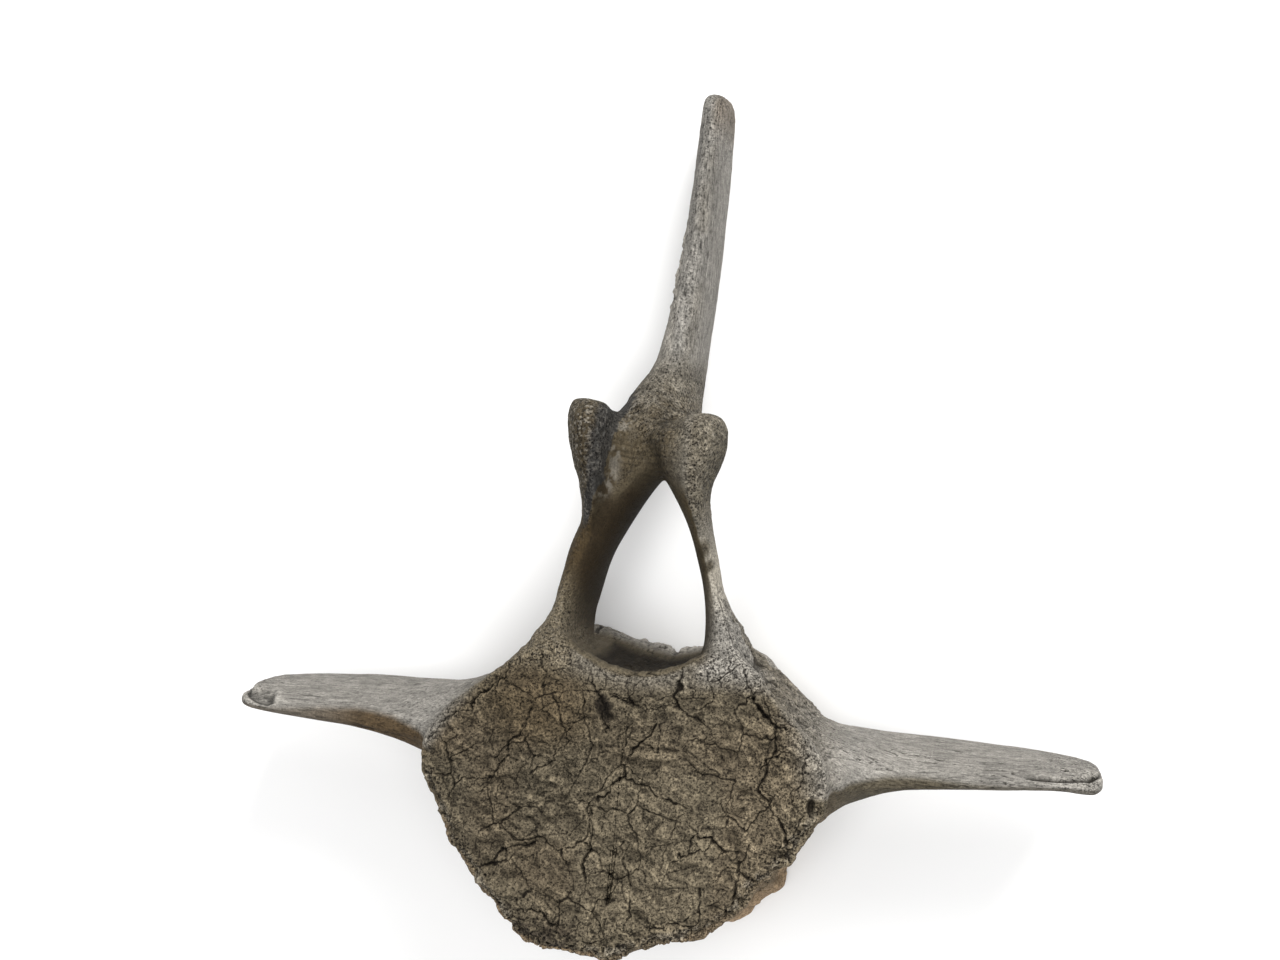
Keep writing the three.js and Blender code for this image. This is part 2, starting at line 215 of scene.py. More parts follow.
def limb(stations, around=64, along=90, round_from=1.0, wedge=0.0, power=1.0, spare=1.1):
    """Grid of points of a limb: centre(v) + broad(v) cos(u) + thin(v) sin(u), an oval carried along
    a smooth path. Broad lies along Z, turned towards the side of the path. Past round_from the oval
    shrinks as a quarter circle, and a wedge above 0 makes the front edge thicker than the rear.
    spare is added all round, for what smoothing takes off."""
    v = np.linspace(0, 1, along)
    if round_from < 1:
        end = round_from + (1 - round_from) * np.sin(np.linspace(0, math.pi / 2, along // 3)) ** 0.8
        v = np.concatenate([np.linspace(0, round_from, along, endpoint=False), end[:-1], [0.9999]])
    u = np.linspace(0, 2 * math.pi, around, endpoint=False)
    centre = np.stack([column(stations, k, v) for k in range(3)], 1)
    ahead = np.stack([column(stations, k, v + 0.01) for k in range(3)], 1)
    behind = np.stack([column(stations, k, v - 0.01) for k in range(3)], 1)
    path = (ahead - behind)[:, :2]
    path /= np.linalg.norm(path, axis=1)[:, None]
    side = np.stack([path[:, 1], -path[:, 0], 0 * v], 1)
    turn = np.radians(column(stations, 5, v))[:, None]
    up = np.array([[0.0, 0.0, 1.0]])
    past = np.clip((v - round_from) / max(1 - round_from, 1e-9), 0, 1)
    shrink = np.sqrt(1 - past ** 2)
    broad = (up * np.cos(turn) + side * np.sin(turn)) * ((column(stations, 3, v) + spare) * shrink)[:, None]
    thin = (side * np.cos(turn) - up * np.sin(turn)) \
        * ((column(stations, 4, v) + spare) * shrink ** 0.5)[:, None]
    c, s = np.cos(u), np.sin(u)
    across = np.sign(s) * np.abs(s) ** power * (1 + wedge * c)
    length = np.sign(c) * np.abs(c) ** power
    return centre[:, None] + broad[:, None] * length[None, :, None] + thin[:, None] * across[None, :, None]


def closed_curve(points, count):
    """Points evenly spaced by length along the closed centripetal curve through the given points."""
    p = np.array(points, float)
    a, b, c, d = (np.roll(p, n, 0) for n in (1, 0, -1, -2))
    t = np.linspace(0, 1, 24, endpoint=False)[None, :, None]
    a, b, c, d = (q[:, None] for q in (a, b, c, d))
    fine = b + 0.5 * t * (c - a + t * (2 * a - 5 * b + 4 * c - d + t * (3 * (b - c) + d - a)))
    fine = fine.reshape(-1, 2)
    loop = np.vstack([fine, fine[:1]])
    run = np.concatenate([[0], np.cumsum(np.linalg.norm(np.diff(loop, axis=0), axis=1))])
    at = np.linspace(0, run[-1], count, endpoint=False)
    return np.stack([np.interp(at, run, loop[:, k]) for k in range(2)], 1)


def body(around=360, along=150, spare=1.8):
    """Grid of points of the body: the profile carried round a rim that passes from the rear face's
    outline to the front face's, so a point is rim(u, z) times scale(v), at height z(v). spare is
    added all round, for what smoothing and crumbling take off."""
    profile = np.array(BODY_PROFILE, float)
    run = np.concatenate([[0], np.cumsum(np.hypot(np.diff(profile[:, 0]) * 130, np.diff(profile[:, 1])))])
    at = np.linspace(0.002, 0.998, along) * run[-1]
    scale, z = (np.interp(at, run, profile[:, k]) for k in range(2))
    rear, front = (closed_curve(rim, around) for rim in (REAR_RIM, FRONT_RIM))
    mix = (z / LENGTH)[:, None, None]
    rim = (rear[None] * (1 - mix) + front[None] * mix) * (scale + spare / 120)[:, None, None]
    return np.concatenate([rim, np.broadcast_to(z[:, None, None], rim.shape[:2] + (1,))], 2)


def grid_faces(rows, around):
    """Quads of a closed grid and the fans that close its two ends, as vertex numbers."""
    i = np.arange(around)
    j = (i + 1) % around
    r = (np.arange(rows - 1) * around)[:, None]
    quads = np.stack([r + i, r + j, r + j + around, r + i + around], 2).reshape(-1, 4)
    last = (rows - 1) * around
    low, high = rows * around, rows * around + 1
    fans = np.concatenate([np.stack([j, i, i * 0 + low], 1), np.stack([last + i, last + j, i * 0 + high], 1)])
    return quads.tolist() + fans.tolist()


def grid_mesh(name, grid):
    """A closed mesh from a grid of rows of rings, in metres."""
    rows, around = grid.shape[:2]
    points = np.concatenate([grid.reshape(-1, 3), grid[:1].mean(1), grid[-1:].mean(1)])
    mesh = bpy.data.meshes.new(name)
    mesh.from_pydata((points * MM).tolist(), [], grid_faces(rows, around))
    if signed_volume(mesh) < 0:
        mesh.flip_normals()
    return mesh


def signed_volume(mesh):
    """Six times the volume inside a closed mesh: positive when its faces point outwards."""
    a, b, c = vertex_array(mesh)[triangle_array(mesh)].transpose(1, 0, 2)
    return np.einsum("ij,ij->", a, np.cross(b, c))


def vertex_array(mesh):
    """All vertex positions of a mesh as an array."""
    out = np.empty(len(mesh.vertices) * 3, np.float32)
    mesh.vertices.foreach_get("co", out)
    return out.reshape(-1, 3).astype(float)


def triangle_array(mesh):
    """All triangles of a mesh as an array of vertex numbers."""
    mesh.calc_loop_triangles()
    out = np.empty(len(mesh.loop_triangles) * 3, np.int32)
    mesh.loop_triangles.foreach_get("vertices", out)
    return out.reshape(-1, 3)


# ---------------------------------------------------------------------------------------------
# Noise, as whole arrays
# ---------------------------------------------------------------------------------------------

def scramble(x, y, z, seed):
    """A number from 0 to 1 for each whole-number point: its coordinates multiplied by large odd
    numbers, added, and bit-mixed twice."""
    h = (x.astype(np.int64) * 374761393 + y.astype(np.int64) * 668265263
         + z.astype(np.int64) * 1440662683 + seed * 974634777) & 0xFFFFFFFF
    h = ((h ^ (h >> 13)) * 1274126177) & 0xFFFFFFFF
    h = ((h ^ (h >> 16)) * 2246822519) & 0xFFFFFFFF
    return ((h ^ (h >> 15)) & 0xFFFFFF) / float(0x1000000)


def noise(p, size, seed=0):
    """Smooth noise from -1 to 1: lattice numbers blended by 6t^5 - 15t^4 + 10t^3 along each axis.
    size is the lattice step in millimetres, or one for each axis."""
    q = p / np.asarray(size, float) + 0.37 * seed
    cell = np.floor(q)
    t = q - cell
    t = t ** 3 * (t * (t * 6 - 15) + 10)
    total = 0
    for dx in (0, 1):
        for dy in (0, 1):
            for dz in (0, 1):
                corner = scramble(cell[:, 0] + dx, cell[:, 1] + dy, cell[:, 2] + dz, seed)
                weight = 1
                for k, d in enumerate((dx, dy, dz)):
                    weight = weight * (t[:, k] if d else 1 - t[:, k])
                total = total + corner * weight
    return total * 2 - 1


def fractal(p, size, seed=0, octaves=3, gain=0.5):
    """Octaves of noise, each half the size and gain times the height of the one before."""
    size = np.asarray(size, float)
    return sum(gain ** k * noise(p, size / 2 ** k, seed + 17 * k) for k in range(octaves))


def cells(p, size, seed=0, flat=False):
    """Cells round jittered lattice points: the distance in millimetres to the wall shared with the
    next nearest cell, a number from 0 to 1 for that wall, one for the cell, and the distance to
    the cell's own point. flat leaves Z out."""
    q = p / size
    base = np.floor(q)
    near = np.full(len(p), 1e9)
    nextd = np.full(len(p), 1e9)
    near_v, next_v = np.zeros_like(q), np.zeros_like(q)
    near_id, next_id = np.zeros(len(p)), np.zeros(len(p))
    for dx in (-1, 0, 1):
        for dy in (-1, 0, 1):
            for dz in ((0,) if flat else (-1, 0, 1)):
                c = base + (dx, dy, dz)
                if flat:
                    c[:, 2] = 0
                ident = scramble(c[:, 0], c[:, 1], c[:, 2], seed)
                jitter = np.stack([scramble(c[:, 0], c[:, 1], c[:, 2], seed + k) for k in (5, 9, 13)], 1)
                v = c + jitter - q
                if flat:
                    v[:, 2] = 0
                d = np.einsum("ij,ij->i", v, v)
                closer = d < near
                second = ~closer & (d < nextd)
                nextd = np.where(closer, near, np.where(second, d, nextd))
                next_v = np.where(closer[:, None], near_v, np.where(second[:, None], v, next_v))
                next_id = np.where(closer, near_id, np.where(second, ident, next_id))
                near = np.where(closer, d, near)
                near_v = np.where(closer[:, None], v, near_v)
                near_id = np.where(closer, ident, near_id)
    axis = next_v - near_v
    wall = np.einsum("ij,ij->i", (near_v + next_v) / 2, axis) / np.maximum(np.linalg.norm(axis, axis=1), 1e-6)
    strength = (near_id + next_id) * 7919.31 % 1
    return wall * size, strength, near_id, np.sqrt(near) * size


def ramp(x, low, high):
    """0 below low, 1 above high, and 3t^2 - 2t^3 between."""
    t = np.clip((x - low) / (high - low), 0, 1)
    return t * t * (3 - 2 * t)


def fade(x, low, high):
    """1 below low, 0 above high, and the ramp's curve between."""
    return ramp(-x, -high, -low)


def within(x, low, full, last, high):
    """1 from full to last, 0 below low and above high, and the ramp's curve between."""
    return ramp(x, low, full) * fade(x, last, high)


def line_distance(p, points):
    """Distance of each X, Y to the nearest stretch of a broken line."""
    best = np.full(len(p), 1e9)
    for (ax, ay), (bx, by) in zip(points[:-1], points[1:]):
        ab = np.array([bx - ax, by - ay], float)
        ap = p[:, :2] - (ax, ay)
        t = np.clip(ap @ ab / (ab @ ab), 0, 1)
        best = np.minimum(best, np.linalg.norm(ap - t[:, None] * ab, axis=1))
    return best


# ---------------------------------------------------------------------------------------------
# The bone as one skin
# ---------------------------------------------------------------------------------------------

class Bone:
    """The whole skin as arrays: points in millimetres, triangles, and what each point carries."""

    def __init__(self, points, tris):
        self.points = points
        self.tris = tris
        self.normals = None
        self.tint = None        # colour in linear light
        self.grain = None       # place along the grain, in metres, for the material's streaks
        self.pores = None
        self.streaks = None
        self.shift = None       # from the frame of the stations to the scene, in metres
        self.place = None       # points in the scene
        self.base = None        # the same before relief, which decides the node of each triangle

    def surface_normals(self):
        """Unit normal of each point: the sum of its triangles' normals, weighted by area."""
        a, b, c = self.points[self.tris].transpose(1, 0, 2)
        n = np.cross(b - a, c - a)
        out = np.stack([self.gather(n[:, k]) for k in range(3)], 1)
        return out / np.maximum(np.linalg.norm(out, axis=1), 1e-12)[:, None]

    def gather(self, values):
        """Sum over the triangles round each point of a value that each triangle has."""
        return sum(np.bincount(self.tris[:, k], values, len(self.points)) for k in range(3))

    def spread(self, field, times):
        """A field averaged with its neighbours' mean, so many times."""
        count = np.maximum(self.gather(np.ones(len(self.tris))) * 3, 1)
        for _ in range(times):
            field = self.gather(field[self.tris].sum(1)) / count
        return field

    def soften(self, weight, times):
        """Draws each point to its neighbours' mean, by its weight, so many times."""
        touched = (weight[self.tris] > 0.01).any(1)
        used, tris = np.unique(self.tris[touched], return_inverse=True)
        part = Bone(self.points[used], tris.reshape(-1, 3))
        count = np.maximum(part.gather(np.ones(len(part.tris))) * 2, 1)[:, None]
        pull = 0.6 * weight[used][:, None]
        for _ in range(times):
            corners = part.points[part.tris]
            around = corners.sum(1)
            mean = sum(np.stack([np.bincount(part.tris[:, k], around[:, c] - corners[:, k, c], len(used))
                                 for c in range(3)], 1) for k in range(3)) / count
            part.points += pull * (mean - part.points)
        self.points[used] = part.points

    def refine(self, inside):
        """Each triangle with its three corners inside becomes four, and one with two becomes two,
        through the middles of the edges between inside corners."""
        t = self.tris
        pairs = np.concatenate([t[:, [0, 1]], t[:, [1, 2]], t[:, [2, 0]]])
        pairs = pairs[inside[pairs].all(1)]
        pairs.sort(1)
        keys = np.unique(pairs[:, 0] * len(self.points) + pairs[:, 1])
        ends = np.stack([keys // len(self.points), keys % len(self.points)], 1)
        middle = self.points[ends].mean(1)
        start = len(self.points)
        corners = inside[t].sum(1)
        full, half = t[corners == 3], t[corners == 2]

        def mid(a, b):
            low, high = np.minimum(a, b), np.maximum(a, b)
            return start + np.searchsorted(keys, low * len(self.points) + high)

        a, b, c = full.T
        ab, bc, ca = mid(a, b), mid(b, c), mid(c, a)
        quarters = [np.stack(s, 1) for s in ((a, ab, ca), (ab, b, bc), (ca, bc, c), (ab, bc, ca))]
        outside = np.argmin(inside[half], 1)
        rows = np.arange(len(half))
        o, u, w = half[rows, outside], half[rows, (outside + 1) % 3], half[rows, (outside + 2) % 3]
        m = mid(u, w)
        halves = [np.stack((o, u, m), 1), np.stack((o, m, w), 1)]
        self.points = np.concatenate([self.points, middle])
        self.tris = np.concatenate([t[corners < 2]] + quarters + halves)


def rough_block(shape):
    """All surfaces in one mesh, fused and smoothed by modifiers, as points and triangles in millimetres,
    still in the frame of the stations."""
    grids = [body()] + [limb(stations, **options) for stations, options in LIMBS.values()]
    parts = [grid_mesh(f"block_{k}", grid) for k, grid in enumerate(grids)]
    objects = [bpy.data.objects.new(m.name, m) for m in parts]
    for o in objects:
        bpy.context.scene.collection.objects.link(o)
    block = objects[0]
    with bpy.context.temp_override(active_object=block, selected_editable_objects=objects):
        bpy.ops.object.join()
    fuse = block.modifiers.new("fuse", "REMESH")
    fuse.mode = "VOXEL"
    fuse.voxel_size = shape.voxel
    soften = block.modifiers.new("soften", "SMOOTH")
    soften.factor = 0.5
    soften.iterations = shape.softening
    round_off = block.modifiers.new("round_off", "SUBSURF")
    round_off.levels = round_off.render_levels = 1
    bpy.context.view_layer.update()
    done = bpy.data.meshes.new_from_object(block.evaluated_get(bpy.context.evaluated_depsgraph_get()))
    points = vertex_array(done) / MM
    tris = triangle_array(done).astype(np.int64)
    bpy.data.objects.remove(block)
    for m in parts + [done]:
        if m.users == 0:
            bpy.data.meshes.remove(m)
    low = np.min([g.reshape(-1, 3).min(0) for g in grids], 0)
    high = np.max([g.reshape(-1, 3).max(0) for g in grids], 0)
    return points, tris, (low + high) / 2


def at(mask, function, *points):
    """function of the points where the mask holds, and 0 elsewhere."""
    out = np.zeros(len(mask))
    if mask.any():
        out[mask] = function(*(p[mask] for p in points))
    return out


def crack(distance, half_width, depth):
    """Cross-section of a crack: a steep notch of that depth, with a shoulder that falls in to it."""
    return -depth * np.exp(-(distance / half_width) ** 2) \
        - 0.16 * depth * np.exp(-(distance / (half_width * 3.5)) ** 2)


class Zones:
    """Where each kind of surface is, as weights from 0 to 1."""

    def __init__(self, p, n):
        x, y, z = p.T
        self.rim = rim_ratio(p)
        out = np.abs(x + 4) + np.where(x < 0, 0.6, 0.3) * (y - 40)
        self.process = np.where(x < 0, ramp(out, 124, 152), ramp(out, 108, 158)) * fade(y, 96, 112)
        self.spine = ramp(y, 285, 325)
        self.arch = ramp(y, 98, 122) * (1 - self.spine)
        self.body = np.clip(1 - self.process - self.arch - self.spine, 0, 1)
        self.face = self.body * ramp(z, 170, 178) * ramp(n[:, 2], 0.35, 0.8)
        self.side = self.body * (1 - ramp(np.abs(n[:, 2]), 0.5, 0.85))
        inner = np.where(x < -5, ramp(n[:, 0], 0.1, 0.5), fade(n[:, 0], -0.5, -0.1))
        between = fade(np.abs(x + 5), 40, 60)
        self.canal = between * np.clip(self.arch * inner * fade(y, 215, 235)
                                       + ramp(n[:, 1], 0.2, 0.6) * within(y, 84, 94, 115, 130), 0, 1)
        self.shoulder = within(x, 44, 56, 110, 134) * ramp(n[:, 1] + 0.6 * n[:, 2], 0.15, 0.5) \
            * within(y, 44, 58, 136, 160) * within(z, 12, 30, 154, 166)
        left_knob = fade(x, -43, -36) * within(y, 185, 210, 290, 300)
        right_knob = ramp(x, 17, 24) * within(y, 190, 215, 290, 300)
        self.left_knob, self.right_knob = left_knob, right_knob
        self.knob = np.clip(left_knob + right_knob, 0, 1)
        self.joined = within(y, -4, 14, 84, 100) * ramp(np.abs(x + 4), 84, 104)
        self.foot = within(y, 82, 102, 128, 168) * ramp(z, 95, 130) * ramp(np.abs(x + 4), 38, 52)


def rim_ratio(p):
    """Distance of each X, Y from the middle of the face, as a part of the front rim's distance at
    that angle."""
    rim = closed_curve(FRONT_RIM, 720)
    angle = np.arctan2(rim[:, 1], rim[:, 0])
    order = np.argsort(angle)
    reach = np.interp(np.arctan2(p[:, 1], p[:, 0]), angle[order], np.hypot(*rim[order].T), period=2 * math.pi)
    return np.hypot(p[:, 0], p[:, 1]) / reach


def moved(p, size, amount, seed):
    """The points moved about by noise of that size, up to that many millimetres."""
    return p + amount * np.stack([noise(p, size, seed + k) for k in range(3)], 1)


def flank_axes(x, y):
    """Distances across the right flank, outwards, and down along it, from its top."""
    return (x - 47) * 0.72 + (y - 142) * 0.69, (x - 47) * 0.69 - (y - 142) * 0.72


def canal_lip(p):
    """1 on the smooth lip where the canal's floor meets the front face."""
    lip = np.exp(-(np.hypot((p[:, 0] + 3) / 54, (p[:, 1] - 99) / 17)) ** 4)
    return lip * ramp(p[:, 2], 110, 150)


def cushion_place(p):
    """The points moved about by noise at two sizes, for what bends as the front face's cushions do."""
    return moved(moved(p, 22, 5.0, 301), 8, 1.5, 304)


def face_swell(p):
    """Height of the soft cushions of the front face, wider than they are tall: drawn-out noise at two
    sizes."""
    s = cushion_place(p)
    return 3.4 * noise(s, (16, 9.5, 20), 41) + 2.1 * noise(s, (8, 5.5, 10), 42)


def face_relief(p):
    """Height of the front face: ripples that run across, dried plates with falling edges, a network of
    hairline cracks at two scales, the named main cracks, and crumbling at the rim and below."""
    x, y = p[:, 0], p[:, 1]
    rim = rim_ratio(p)
    lip = canal_lip(p)
    joined = ramp(y, -4, 14) * ramp(np.abs(x + 4), 84, 104)
    footed = ramp(y, 70, 86) * ramp(np.abs(x + 4), 26, 42)
    loose = np.clip(ramp(rim, 0.88, 0.99) * (1 - 0.7 * joined) + 0.4 * fade(y, -100, -66)
                    + 0.4 * ramp(x, 66, 108), 0, 1) * (1 - lip) * (1 - footed)
    strength = 0.55 + 0.45 * ramp(fractal(p, 46, 40, 2), -0.35, 0.3)
    s = cushion_place(p)
    h = face_swell(p) + 1.2 * noise(p, 40, 43)
    h -= 0.8 * (1 - np.abs(noise(s, (17, 10, 20), 44))) ** 4
    h += 0.35 * noise(s, (3.4, 2.8, 5), 45)
    h *= strength * (1 - 0.8 * lip) * (1 - 0.5 * footed)
    cavity = np.zeros(len(p))
    q = moved(moved(moved(p, 12, 2.6, 311), 4.2, 1.5, 316), 1.8, 0.6, 321)
    for size, width, depth, shown, black, seed in (
            (25, 0.42, 2.0, 0.2, 0.95, 51), (13, 0.34, 1.1, 0.38, 0.65, 52), (6.5, 0.3, 0.35, 0.6, 0.2, 53)):
        wall, kind, ident, _ = cells(q, size, seed, flat=True)
        patchy = 0.2 + 0.8 * ramp(noise(p, size * 1.1, seed + 3), -0.4, 0.15)
        seen = ramp(kind, shown, shown + 0.2) * patchy * (1 - 0.5 * lip)
        cut = np.exp(-(wall / width) ** 2) * seen
        h -= depth * cut + 0.3 * depth * np.exp(-wall / 2.2) * seen
        h += (ident - 0.5) * 0.03 * size
        cavity = np.maximum(cavity, cut * black)
    fine = moved(moved(moved(p, 9, 1.6, 331), 3.6, 1.5, 336), 1.7, 0.6, 341)
    for width, depth, points in FACE_CRACKS.values():
        d = line_distance(fine, points)
        broken = 0.3 + 0.7 * ramp(noise(p, 7, 37), -0.5, 0.3)
        opened = width * (0.7 + 0.75 * broken)
        h += crack(d, opened, depth * broken)
        cavity = np.maximum(cavity, np.exp(-(d / opened) ** 2) * (0.6 + 0.4 * broken))
    h += loose * (1.1 * fractal(p, 7, 61, 3, 0.65))
    h += (0.16 + 0.2 * loose) * fractal(p, 2.6, 62, 2) * (1 - 0.5 * lip)
    pits = ramp(noise(p, 2.1, 64), 0.42 - 0.2 * loose, 0.62 - 0.15 * loose)
    h -= pits * (0.35 + 0.75 * loose)
    cavity = np.maximum(cavity, pits * (0.35 + 0.4 * loose))
    hole = np.hypot((x - 127) / 3.2, (y - 14) / 6.5)
    h -= 7 * np.exp(-hole ** 4)
    cavity = np.maximum(cavity, np.exp(-hole ** 4))
    return h, cavity, loose


def relief(p, n, zones):
    """Height added along the normal, how much of each point lies in a crack or pit, and how loose and
    how porous the bone is there."""
    h = 0.8 * fractal(p, 70, 1, 2) + 0.3 * noise(p, 24, 3)
    x, y, z = p.T
    cavity = np.zeros(len(p))
    on = zones.face > 0.001
    face_h, face_c, loose = np.zeros(len(p)), np.zeros(len(p)), np.zeros(len(p))
    face_h[on], face_c[on], loose[on] = face_relief(p[on])
    h += face_h * zones.face
    cavity = np.maximum(cavity, face_c * zones.face)

    # crumbling rims of both faces, broken into lumps and chips
    lip = canal_lip(p)
    front = np.exp(-((z - 178) / 9) ** 2) * zones.body * ramp(zones.rim, 0.9, 0.97) * (1 - lip)
    front *= (1 - 0.85 * zones.joined) * (1 - ramp(y, 68, 84) * ramp(np.abs(x + 4), 26, 42))
    rear = np.exp(-((z - 10) / 13) ** 2) * zones.body * ramp(zones.rim, 0.9, 0.97)
    rear *= 1 - 0.75 * ramp(x, 25, 50) * fade(y, -45, -20)
    rims = front + 1.3 * rear
    on = rims > 0.01
    h += rims * at(on, lambda s: 1.9 * fractal(s, 17, 71, 3, 0.62), p)
    wall, _, ident, _ = cells(moved(p[on], 6, 2, 351), 12, 73)
    chip = np.zeros(len(p))
    chip[on] = 2.4 * ramp(ident, 0.6, 0.68) * ramp(wall, 0.1, 1.4) + 1.1 * np.exp(-(wall / 0.6) ** 2)
    h -= rims * chip
    notch = np.exp(-((x - 2) / 2.2) ** 2) * ramp(y, 76, 86) * fade(z, 15, 30)
    h -= 5 * notch * zones.body

    # body sides: furrows that run from face to face, folds on the right shoulder, and open pits
    on = zones.side > 0.001
    furrow = at(on, lambda s: fractal(s, (9, 9, 60), 81, 3, 0.6), p)
    slits = at(on, lambda s: ramp(1 - np.abs(noise(moved(s, 9, 1.5, 361), (7, 7, 46), 82)), 0.9, 0.99)
               * ramp(noise(s, 20, 83), -0.1, 0.4), p)
    shoulder = zones.shoulder
    across, down = flank_axes(x, y)
    folded = np.stack([across, down, z * 0.45], 1)
    on = shoulder > 0.001
    folds = at(on, lambda s: 1.0 * noise(moved(s, 15, 3, 371), (12, 50, 12), 84)
               - 1.9 * (1 - np.abs(noise(moved(s, 12, 3, 381), (12, 60, 13), 85))) ** 5, folded)
    h += zones.side * (1 - shoulder) * (0.8 * furrow - 1.5 * slits) + shoulder * (1.3 * folds + 0.6 * furrow)
    h += shoulder * at(on, lambda s: 1.5 * fractal(s, (7, 16, 9), 86, 3, 0.62), folded)
    wall, _, ident, _ = cells(moved(folded[on], 6, 2, 389), 12, 87)
    step = np.zeros(len(p))
    step[on] = 2.6 * (ident - 0.6) * ramp(wall, 0.0, 1.0)
    h += shoulder * step
    cavity = np.maximum(cavity, zones.side * slits * 0.8 * (1 - shoulder))
    cavity = np.maximum(cavity, 0.7 * shoulder * fade(folds, -1.9, -1.1))
    split = np.exp(-(line_distance(moved(p, 7, 1.5, 388),
                                   [(45, 157), (51, 139), (57, 125), (63, 113)]) / 1.1) ** 2)
    split *= within(z, 96, 112, 160, 172) * ramp(n[:, 0], -0.2, 0.1) * (y > 108)
    h -= 3 * split
    cavity = np.maximum(cavity, 0.9 * split)
    for cx, cy, cz, r, deep in ((91, 88.5, 138, 4.4, 8), (86.5, 87.5, 146, 3.8, 6), (97, 84.5, 136, 3.6, 5)):
        d = np.sqrt(((x - cx) ** 2 + (y - cy) ** 2 + ((z - cz) / 2.2) ** 2)) / r
        h -= shoulder * deep * np.exp(-d ** 2)
        cavity = np.maximum(cavity, shoulder * np.exp(-d ** 2) * 0.8)

    # processes: fine grain along X, with open slits near the roots and tips
    on = zones.process > 0.001
    grain = at(on, lambda s: fractal(s, (60, 5.0, 5.0), 91, 3, 0.62), p)
    where = ramp(noise(p, (34, 12, 12), 93) + 0.4 * fade(np.abs(x), 150, 205), 0.3, 0.7)
    slits = at(on, lambda s: ramp(1 - np.abs(noise(moved(s, 12, 1.2, 391), (40, 3.4, 3.4), 92)),
                                  0.93, 0.985), p) * where
    h += zones.process * (0.28 * grain - 0.9 * slits)
    cavity = np.maximum(cavity, zones.process * slits * 0.75)

    # spine: the same along Y, with short dashes
    on = zones.spine > 0.001
    grain = at(on, lambda s: fractal(s, (4.5, 50, 4.5), 101, 3, 0.62), p)
    dashes = at(on, lambda s: ramp(noise(s, (1.9, 6, 1.9), 102), 0.5, 0.75), p)
    h += zones.spine * (0.25 * grain - 0.3 * dashes)
    cavity = np.maximum(cavity, zones.spine * dashes * 0.3)
    frayed = fade(x, -13, -9) * within(y, 330, 380, 440, 480) * ramp(z, 70, 95)
    h += frayed * at(on, lambda s: 2.2 * fractal(s, (6, 5, 6), 104, 3, 0.7), p)

    # knobs, pedicle feet, and the ends of the processes and spine: open pores
    outer = np.where(x < -5, fade(n[:, 0], -0.5, 0.2), 1)
    feet = zones.arch * (1 - zones.canal) \
        * (0.25 + 0.4 * (1 - ramp(y, 110, 150)) + 0.4 * ramp(y, 150, 180)) * outer
    ends = np.clip(ramp(y, 440, 500) + ramp(np.abs(x), 270, 312), 0, 1)
    porous = np.clip(zones.knob * zones.arch + 0.6 * feet + 0.6 * ends + 0.5 * zones.side
                     + zones.arch * ramp(y, 235, 290) + zones.foot + 0.8 * shoulder
                     + zones.spine * (0.25 + 0.35 * fade(x, -2, 7)
                                      * ramp(fractal(p, (9, 40, 9), 107, 2), -0.3, 0.3)), 0, 1)
    porous *= 1 - zones.canal
    on = porous > 0.01
    coarse = at(on, lambda s: ramp(noise(moved(s, 3, 0.8, 401), 2.0, 111), 0.25, 0.55), p)
    tiny = at(on, lambda s: ramp(noise(s, 1.35, 113), 0.15, 0.5), p)
    coarse = coarse * at(on, lambda s: ramp(noise(s, 12, 114), -0.1, 0.5), p)
    pits = porous * zones.arch * np.maximum(coarse, 0.5 * tiny) * (1 - 0.6 * zones.foot)
    h += porous * at(on, lambda s: 0.4 * fractal(s, 8, 112, 3, 0.6), p) - 0.35 * pits
    cavity = np.maximum(cavity, pits * 0.45)

    # broken tip on the left: two lips with a hollow between; and a long slit in the right tip
    mid = 36.5 - 0.14 * (x + 290)
    wide = 1.3 + 2.8 * within(x, -302, -286, -282, -276)
    cleft = np.exp(-((y - mid) / wide) ** 4) * fade(x, -280, -274) * ramp(z, 95, 118)
    h -= 3.6 * cleft * (1 + 0.25 * noise(p, 5, 95))
    slit = np.exp(-((y - 45.8 - 0.065 * (x - 281) - 0.5 * noise(p, 9, 96)) / 0.9) ** 2) \
        * ramp(x, 266, 282) * ramp(z, 100, 120)
    h -= 3.5 * slit
    cavity = np.maximum(cavity, np.maximum(cleft * 0.3, slit))
    calm = ramp(z, 0.4, 5)
    return h * calm, cavity * calm, loose, porous


def mixed(a, b, weight):
    """Colour b over colour a by a weight at each point."""
    return a + (np.asarray(b, float) - a) * weight[:, None]


